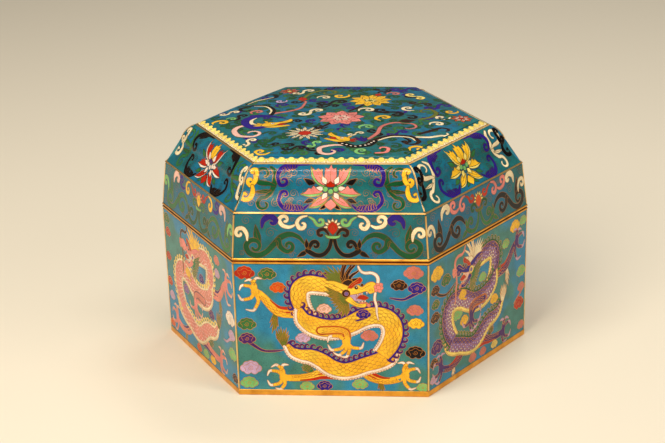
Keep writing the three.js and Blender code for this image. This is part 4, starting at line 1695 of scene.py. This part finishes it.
def rightKui(d):
    scroll(
        d, [21.0 - 47.0j, 25.6 - 35.4j, 27.4 - 22.0j, 34.6 - 13.6j, 45.0 - 14.4j], 43.4 - 22.4j, -0.5,
        [2.4, 2.6, 2.4, 2.2, 2.2, 1.6, 1.2], "rosePink",
    )
    bud(d, 37.6 - 10.6j, 48.6 - 7.4j, "umberBrown")
    scroll(
        d, [50.6 - 5.0j, 58.0 + 0.4j, 61.0 + 9.6j, 57.0 + 17.6j], 54.0 + 12.4j, 0.5,
        [1.8, 2.8, 2.8, 2.4, 1.8, 1.2], "oliveGreen",
    )
    scroll(
        d, [52.0 - 35.6j, 58.0 - 29.6j, 64.4 - 22.4j], 67.6 - 26.4j, -0.45, [2.6, 3.0, 2.8, 2.0, 1.4],
        "umberBrown",
    )
    scroll(d, [50.6 - 41.6j, 58.6 - 41.0j, 65.6 - 36.4j], 67.6 - 31.0j, 0.3, [2.4, 2.6, 2.2, 1.2], "cream")
    scroll(
        d, [8.0 - 60.0j, 0.0 - 59.4j, -8.0 - 64.0j, -7.6 - 71.6j], -1.6 - 70.0j, 0.6,
        [1.6, 2.8, 3.2, 3.0, 2.2, 1.4], "blush",
    )
    scroll(
        d, [27.0 - 72.6j, 33.0 - 71.0j, 34.4 - 65.4j], 30.4 - 65.0j, 0.5, [1.6, 2.4, 2.2, 1.2], "lotusPink",
    )
    scroll(d, [22.0 - 56.0j, 25.6 - 49.0j, 35.0 - 41.0j, 46.6 - 41.4j, 52.0 - 48.4j], 46.4 - 51.6j, -0.6,
           [5.0, 4.6, 4.2, 3.8, 3.2, 2.6, 2.0, 1.6], "umberBrown")
    d.stroke(
        [24.6 - 52.6j, 34.6 - 42.6j, 46.0 - 42.8j, 50.0 - 48.6j], [0.8, 1.6, 1.6, 0.8], "cream", rim=0.22,
    )
    d.stroke([4.0 - 55.0j, 12.6 - 61.6j, 21.4 - 58.4j, 25.0 - 51.0j], [4.2, 4.8, 4.8, 4.0], "black")
    for k in range(9):
        share = k / 8
        d.bead(
            between([5.0 - 56.6j, 12.6 - 61.8j, 20.6 - 58.8j, 24.4 - 51.6j], share), 0.75, "ivory", rim=0.2,
        )
    for tip in (15.6 - 41.6j, 19.4 - 44.0j, 11.8 - 43.4j):
        leaf(d, 19.0 - 53.0j, tip, 3.0, "violetBlue", 0.6, vein=False)
    kuiHead(d, 8.0 - 51.6j, 0.95, -36, True, {"mane": "vermilion", "head": "amberYellow"})


topScrolls = (
    ("S", -21.0 + 9.4j, 1.0, 42, "cream"), ("S", -30.6 + 60.0j, 0.9, 40, "cream"),
    ("C", -16.0 + 45.0j, 0.8, 0, "cream"),
    ("C", -3.0 + 48.6j, 0.95, 200, "amberYellow"), ("S", 45.4 + 49.4j, 0.9, -50, "paleYellow"),
    ("C", 66.0 + 0.4j, 0.9, 180, "cream"),
    ("C", 61.6 - 13.6j, 0.85, 10, "cream"), ("S", -74.6 + 11.0j, 0.75, 30, "cream"),
    ("C", -78.6 - 10.0j, 1.0, 20, "amberYellow"),
    ("C", -43.4 - 71.0j, 0.95, 150, "amberYellow"), ("S", -54.6 - 52.0j, 0.8, 62, "cream"),
    ("C", 26.8 - 3.8j, 1.05, 60, "amberYellow"),
    ("S", -24.6 - 64.6j, 0.8, 10, "black"), ("S", -9.0 + 31.8j, 1.1, 200, "black"),
    ("S", 30.0 + 9.4j, 1.2, -36, "black"),
    ("S", 49.6 + 31.4j, 0.85, -20, "umberBrown"), ("S", 61.6 + 25.6j, 1.1, 38, "violetBlue"),
    ("C", -41.6 + 25.6j, 0.85, 60, "violetBlue"),
    ("S", 38.6 + 68.4j, 1.2, 10, "violetBlue"), ("S", -7.6 + 69.6j, 0.85, 0, "violetBlue"),
    ("C", 17.0 - 23.0j, 0.9, 30, "appleGreen"),
    ("C", 18.0 - 70.4j, 0.85, 100, "appleGreen"), ("C", -19.6 - 73.4j, 0.8, 0, "leafGreen"),
    ("S", -12.6 - 57.6j, 0.7, 60, "appleGreen"),
    ("S", -39.6 - 47.4j, 1.1, 30, "deepGreen"), ("S", -36.4 - 60.4j, 0.9, -10, "deepGreen"),
    ("C", 71.4 + 14.6j, 0.8, 200, "amberYellow"),
    ("C", 51.6 - 63.0j, 1.0, 20, "amberYellow"), ("C", 30.0 + 55.4j, 0.8, 0, "rosePink"),
    ("S", 63.6 + 39.0j, 0.8, -58, "deepGreen"),
    ("C", -17.4 - 17.6j, 1.0, 190, "deepGreen"), ("C", 42.8 + 18.0j, 0.9, 120, "cream"),
    ("C", 14.6 + 14.6j, 0.95, 10, "cream"),
    ("C", -42.6 + 36.4j, 0.7, 200, "lilac"), ("S", -66.0 - 13.4j, 0.8, 80, "deepGreen"),
    ("S", 36.0 + 32.0j, 0.8, 60, "deepGreen"),
    ("S", 66.0 - 3.0j, 0.4, 0, "deepGreen"), ("S", -34.6 - 14.0j, 0.5, 0, "deepGreen"),
    ("S", 8.0 + 64.6j, 0.9, 20, "deepGreen"),
    ("S", 36.4 - 28.6j, 0.8, 60, "leafGreen"), ("C", 5.6 - 30.6j, 0.9, 100, "leafGreen"),
    ("S", -36.0 + 47.6j, 0.7, 80, "deepGreen"),
    ("S", 40.6 - 66.8j, 0.7, 20, "deepGreen"), ("C", -57.0 + 11.0j, 0.8, 40, "rosePink"),
    ("C", -72.0 - 2.6j, 0.6, 0, "appleGreen"),
    ("S", 59.0 - 52.6j, 0.7, 60, "leafGreen"), ("C", 79.0 - 13.6j, 0.6, 0, "leafGreen"),
    ("S", 62.0 + 12.0j, 0.1, 0, "deepGreen"),
    ("S", 22.6 + 65.0j, 0.7, -20, "black"), ("S", 12.0 - 37.0j, 0.6, 30, "cream"),
)


topShades = (
    "deepGreen", "leafGreen", "deepGreen", "deepGreen", "violetBlue", "leafGreen", "deepGreen", "black",
)


def hexReach(at):
    # distance from the middle, measured square to the nearest side
    return max(abs((at * polar(1, -axis)).real) for axis in (30, 90, 150))


def topField(outline):
    d = Drawing(outline, "lidTurquoise")
    spiralGround(d, 6.4, 2.0, lambda at: hexReach(at) < 76)
    # dark scrolls under the rest
    for row in range(-6, 7):
        for column in range(-6, 7):
            at = complex((column + 0.5 * (row % 2)) * 14.0 + 3.0, row * 11.6)
            if hexReach(at) < 74:
                kind = "S" if (row + column) % 3 else "C"
                colour = topShades[(row * 2 + column * 5) % len(topShades)]
                smallScroll(d, kind, at, 0.95, (row * 53 + column * 97) % 360, colour)
    d.stroke([-4.0 - 12.0j, -9.6 - 22.0j, -15.6 - 31.0j], [1.6, 2.0, 2.0], "umberBrown")
    d.stroke([4.0 + 11.0j, 9.0 + 19.0j, 12.4 + 26.0j], [1.6, 2.0, 2.0], "umberBrown")
    for kind, at, size, angle, colour in topScrolls:
        smallScroll(d, kind, at, size * 1.2, angle, colour)
    leftKui(d)
    rightKui(d)
    blossom(
        d, 0.0 - 3.5j, 15.6,
        (
            (9, 0.4, 1.0, 0.52, "lotusPink"), (8, 0.25, 0.74, 0.42, "lotusPink"),
            (6, 0.05, 0.46, 0.3, "blush"),
        ),
        (0.1, "lotusPink"),
    )
    blossom(
        d, -20.4 - 36.0j, 13.4, ((13, 0.3, 1.0, 0.2, "cream"), (9, 0.2, 0.66, 0.2, "cream")),
        (0.3, "vermilion"),
    )
    blossom(
        d, 16.4 + 37.6j, 14.6,
        (
            (10, 0.35, 1.0, 0.42, "amberYellow"), (8, 0.2, 0.7, 0.36, "amberYellow"),
            (5, 0.0, 0.36, 0.24, "paleYellow"),
        ),
        (0.1, "oliveGreen"),
    )
    bud(d, 19.6 + 48.4j, 21.6 + 56.0j, "vermilion")
    blossom(
        d, 77.6 + 0.0j, 7.6, ((8, 0.3, 1.0, 0.4, "orange"), (7, 0.2, 0.7, 0.34, "blush")),
        (0.2, "vermilion"),
    )
    blossom(
        d, -40.4 + 62.6j, 7.4, ((8, 0.3, 1.0, 0.4, "rosePink"), (7, 0.2, 0.66, 0.34, "orange")),
        (0.2, "paleYellow"),
    )
    return d


# Lid: the enamel of its skirt, shoulders, lappet border and top
lidOrder = ("front", "right", "left", "front", "right", "left")
# the lid's wires take the darker gilt copy, which is painted shade
lidSwaps = {"gilt": "paintedShadeGilt"}


def lidSheets(draw, outline, palettes, guides=()):
    drawings = zip(("front", "right", "left"), palettes)
    return {key: flushSheet(draw(outline, palette), guides) for key, palette in drawings}


def lidPiece(name, sheets, guides, place, sides):
    inlaidPiece(name, [(sheets[lidOrder[side]], guides, side, lidSwaps) for side in sides], place)


skirtOutline = sideOutline(skirtSurface, 0.08, 0.62, layer["edgeGap"])
skirtSheets = lidSheets(skirtSide, skirtOutline, (frontSkirt, rightSkirt, leftSkirt))
lidPiece("lid_skirt_enamel", skirtSheets, [], skirtSurface, range(6))

shoulderGuides = levelGuides(shoulderSurface, 0.6, 0.6, layer["edgeGap"], 1.1)
shoulderOutline = sideOutline(shoulderSurface, 0.6, 0.6, layer["edgeGap"], 1.1)
shoulderPalettes = frontShoulder, rightShoulder, leftShoulder
shoulderSheets = lidSheets(shoulderSide, shoulderOutline, shoulderPalettes, shoulderGuides)
lidPiece("lid_shoulder_enamel_1", shoulderSheets, shoulderGuides, shoulderSurface, (0, 1, 5))
lidPiece("lid_shoulder_enamel_2", shoulderSheets, shoulderGuides, shoulderSurface, (2, 3, 4))

lappetOutline = sideOutline(bandSurface, 0.6, 0.02, 0.05)
lappetSheet = flushSheet(lappetSide(lappetOutline, bandSurface))
inlaidPiece("lid_lappet_enamel", [(lappetSheet, [], side, {}) for side in range(6)], bandSurface)

topOutline = [polar((fieldEdge.real - 0.25) / math.cos(math.pi / 6), 60 * k) for k in range(6)]
topRings = [0.4, 0.9, 1.6, 2.6, 4.2, 6.6, 10.0, 15.0, 22.0, 31.0, 42.0, 54.0]


def ringGuides(rings):
    guides = []
    for inset in rings:
        corner = (fieldEdge.real - 0.25 - inset) / math.cos(math.pi / 6)
        corners = [polar(corner, 60 * k) for k in range(7)]
        ring = []
        for a, b in zip(corners, corners[1:]):
            ring += [a + (b - a) * k / 12 for k in range(12)]
        guides.append(ring + ring[:1])
    return guides


topGuides = ringGuides(topRings)
topSheet = flushSheet(topField(topOutline), topGuides)
inlaidPiece("lid_top_enamel", [(topSheet, topGuides, 0, lidSwaps)], domePlace)


# Metal and counter-enamel on the frame's own pieces
counterFinish = dict(enamelFinish, roughness=0.28, cloudSize=12.0, cloudDepth=0.2)
plainGilt = giltMaterial("giltBronze", giltFinish)
# the frame's wires get paler gold than the rest of the metal: a painted highlight
highlightWireGilt = giltMaterial("giltWireHighlight", dict(giltFinish, bright="#FBD48C", worn="#E0A656", roughness=0.4))
counterEnamel = enamelMaterial("counterEnamel", swatches["turquoise"], counterFinish, 3.0)
for name, node in nodes.items():
    enamelled = name in ("box_body", "lid_shell")
    node.data.materials.clear()
    node.data.materials.append(counterEnamel if enamelled else highlightWireGilt if "wire" in name else plainGilt)
print("metal: gilt and counter-enamel on the frame's pieces")


# Size: the frame's box and the dressed part's box, as plain numbers
boxes = {"cad": frameBounds, "visual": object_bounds()}
{key: [list(corner) for corner in box] for key, box in boxes.items()}
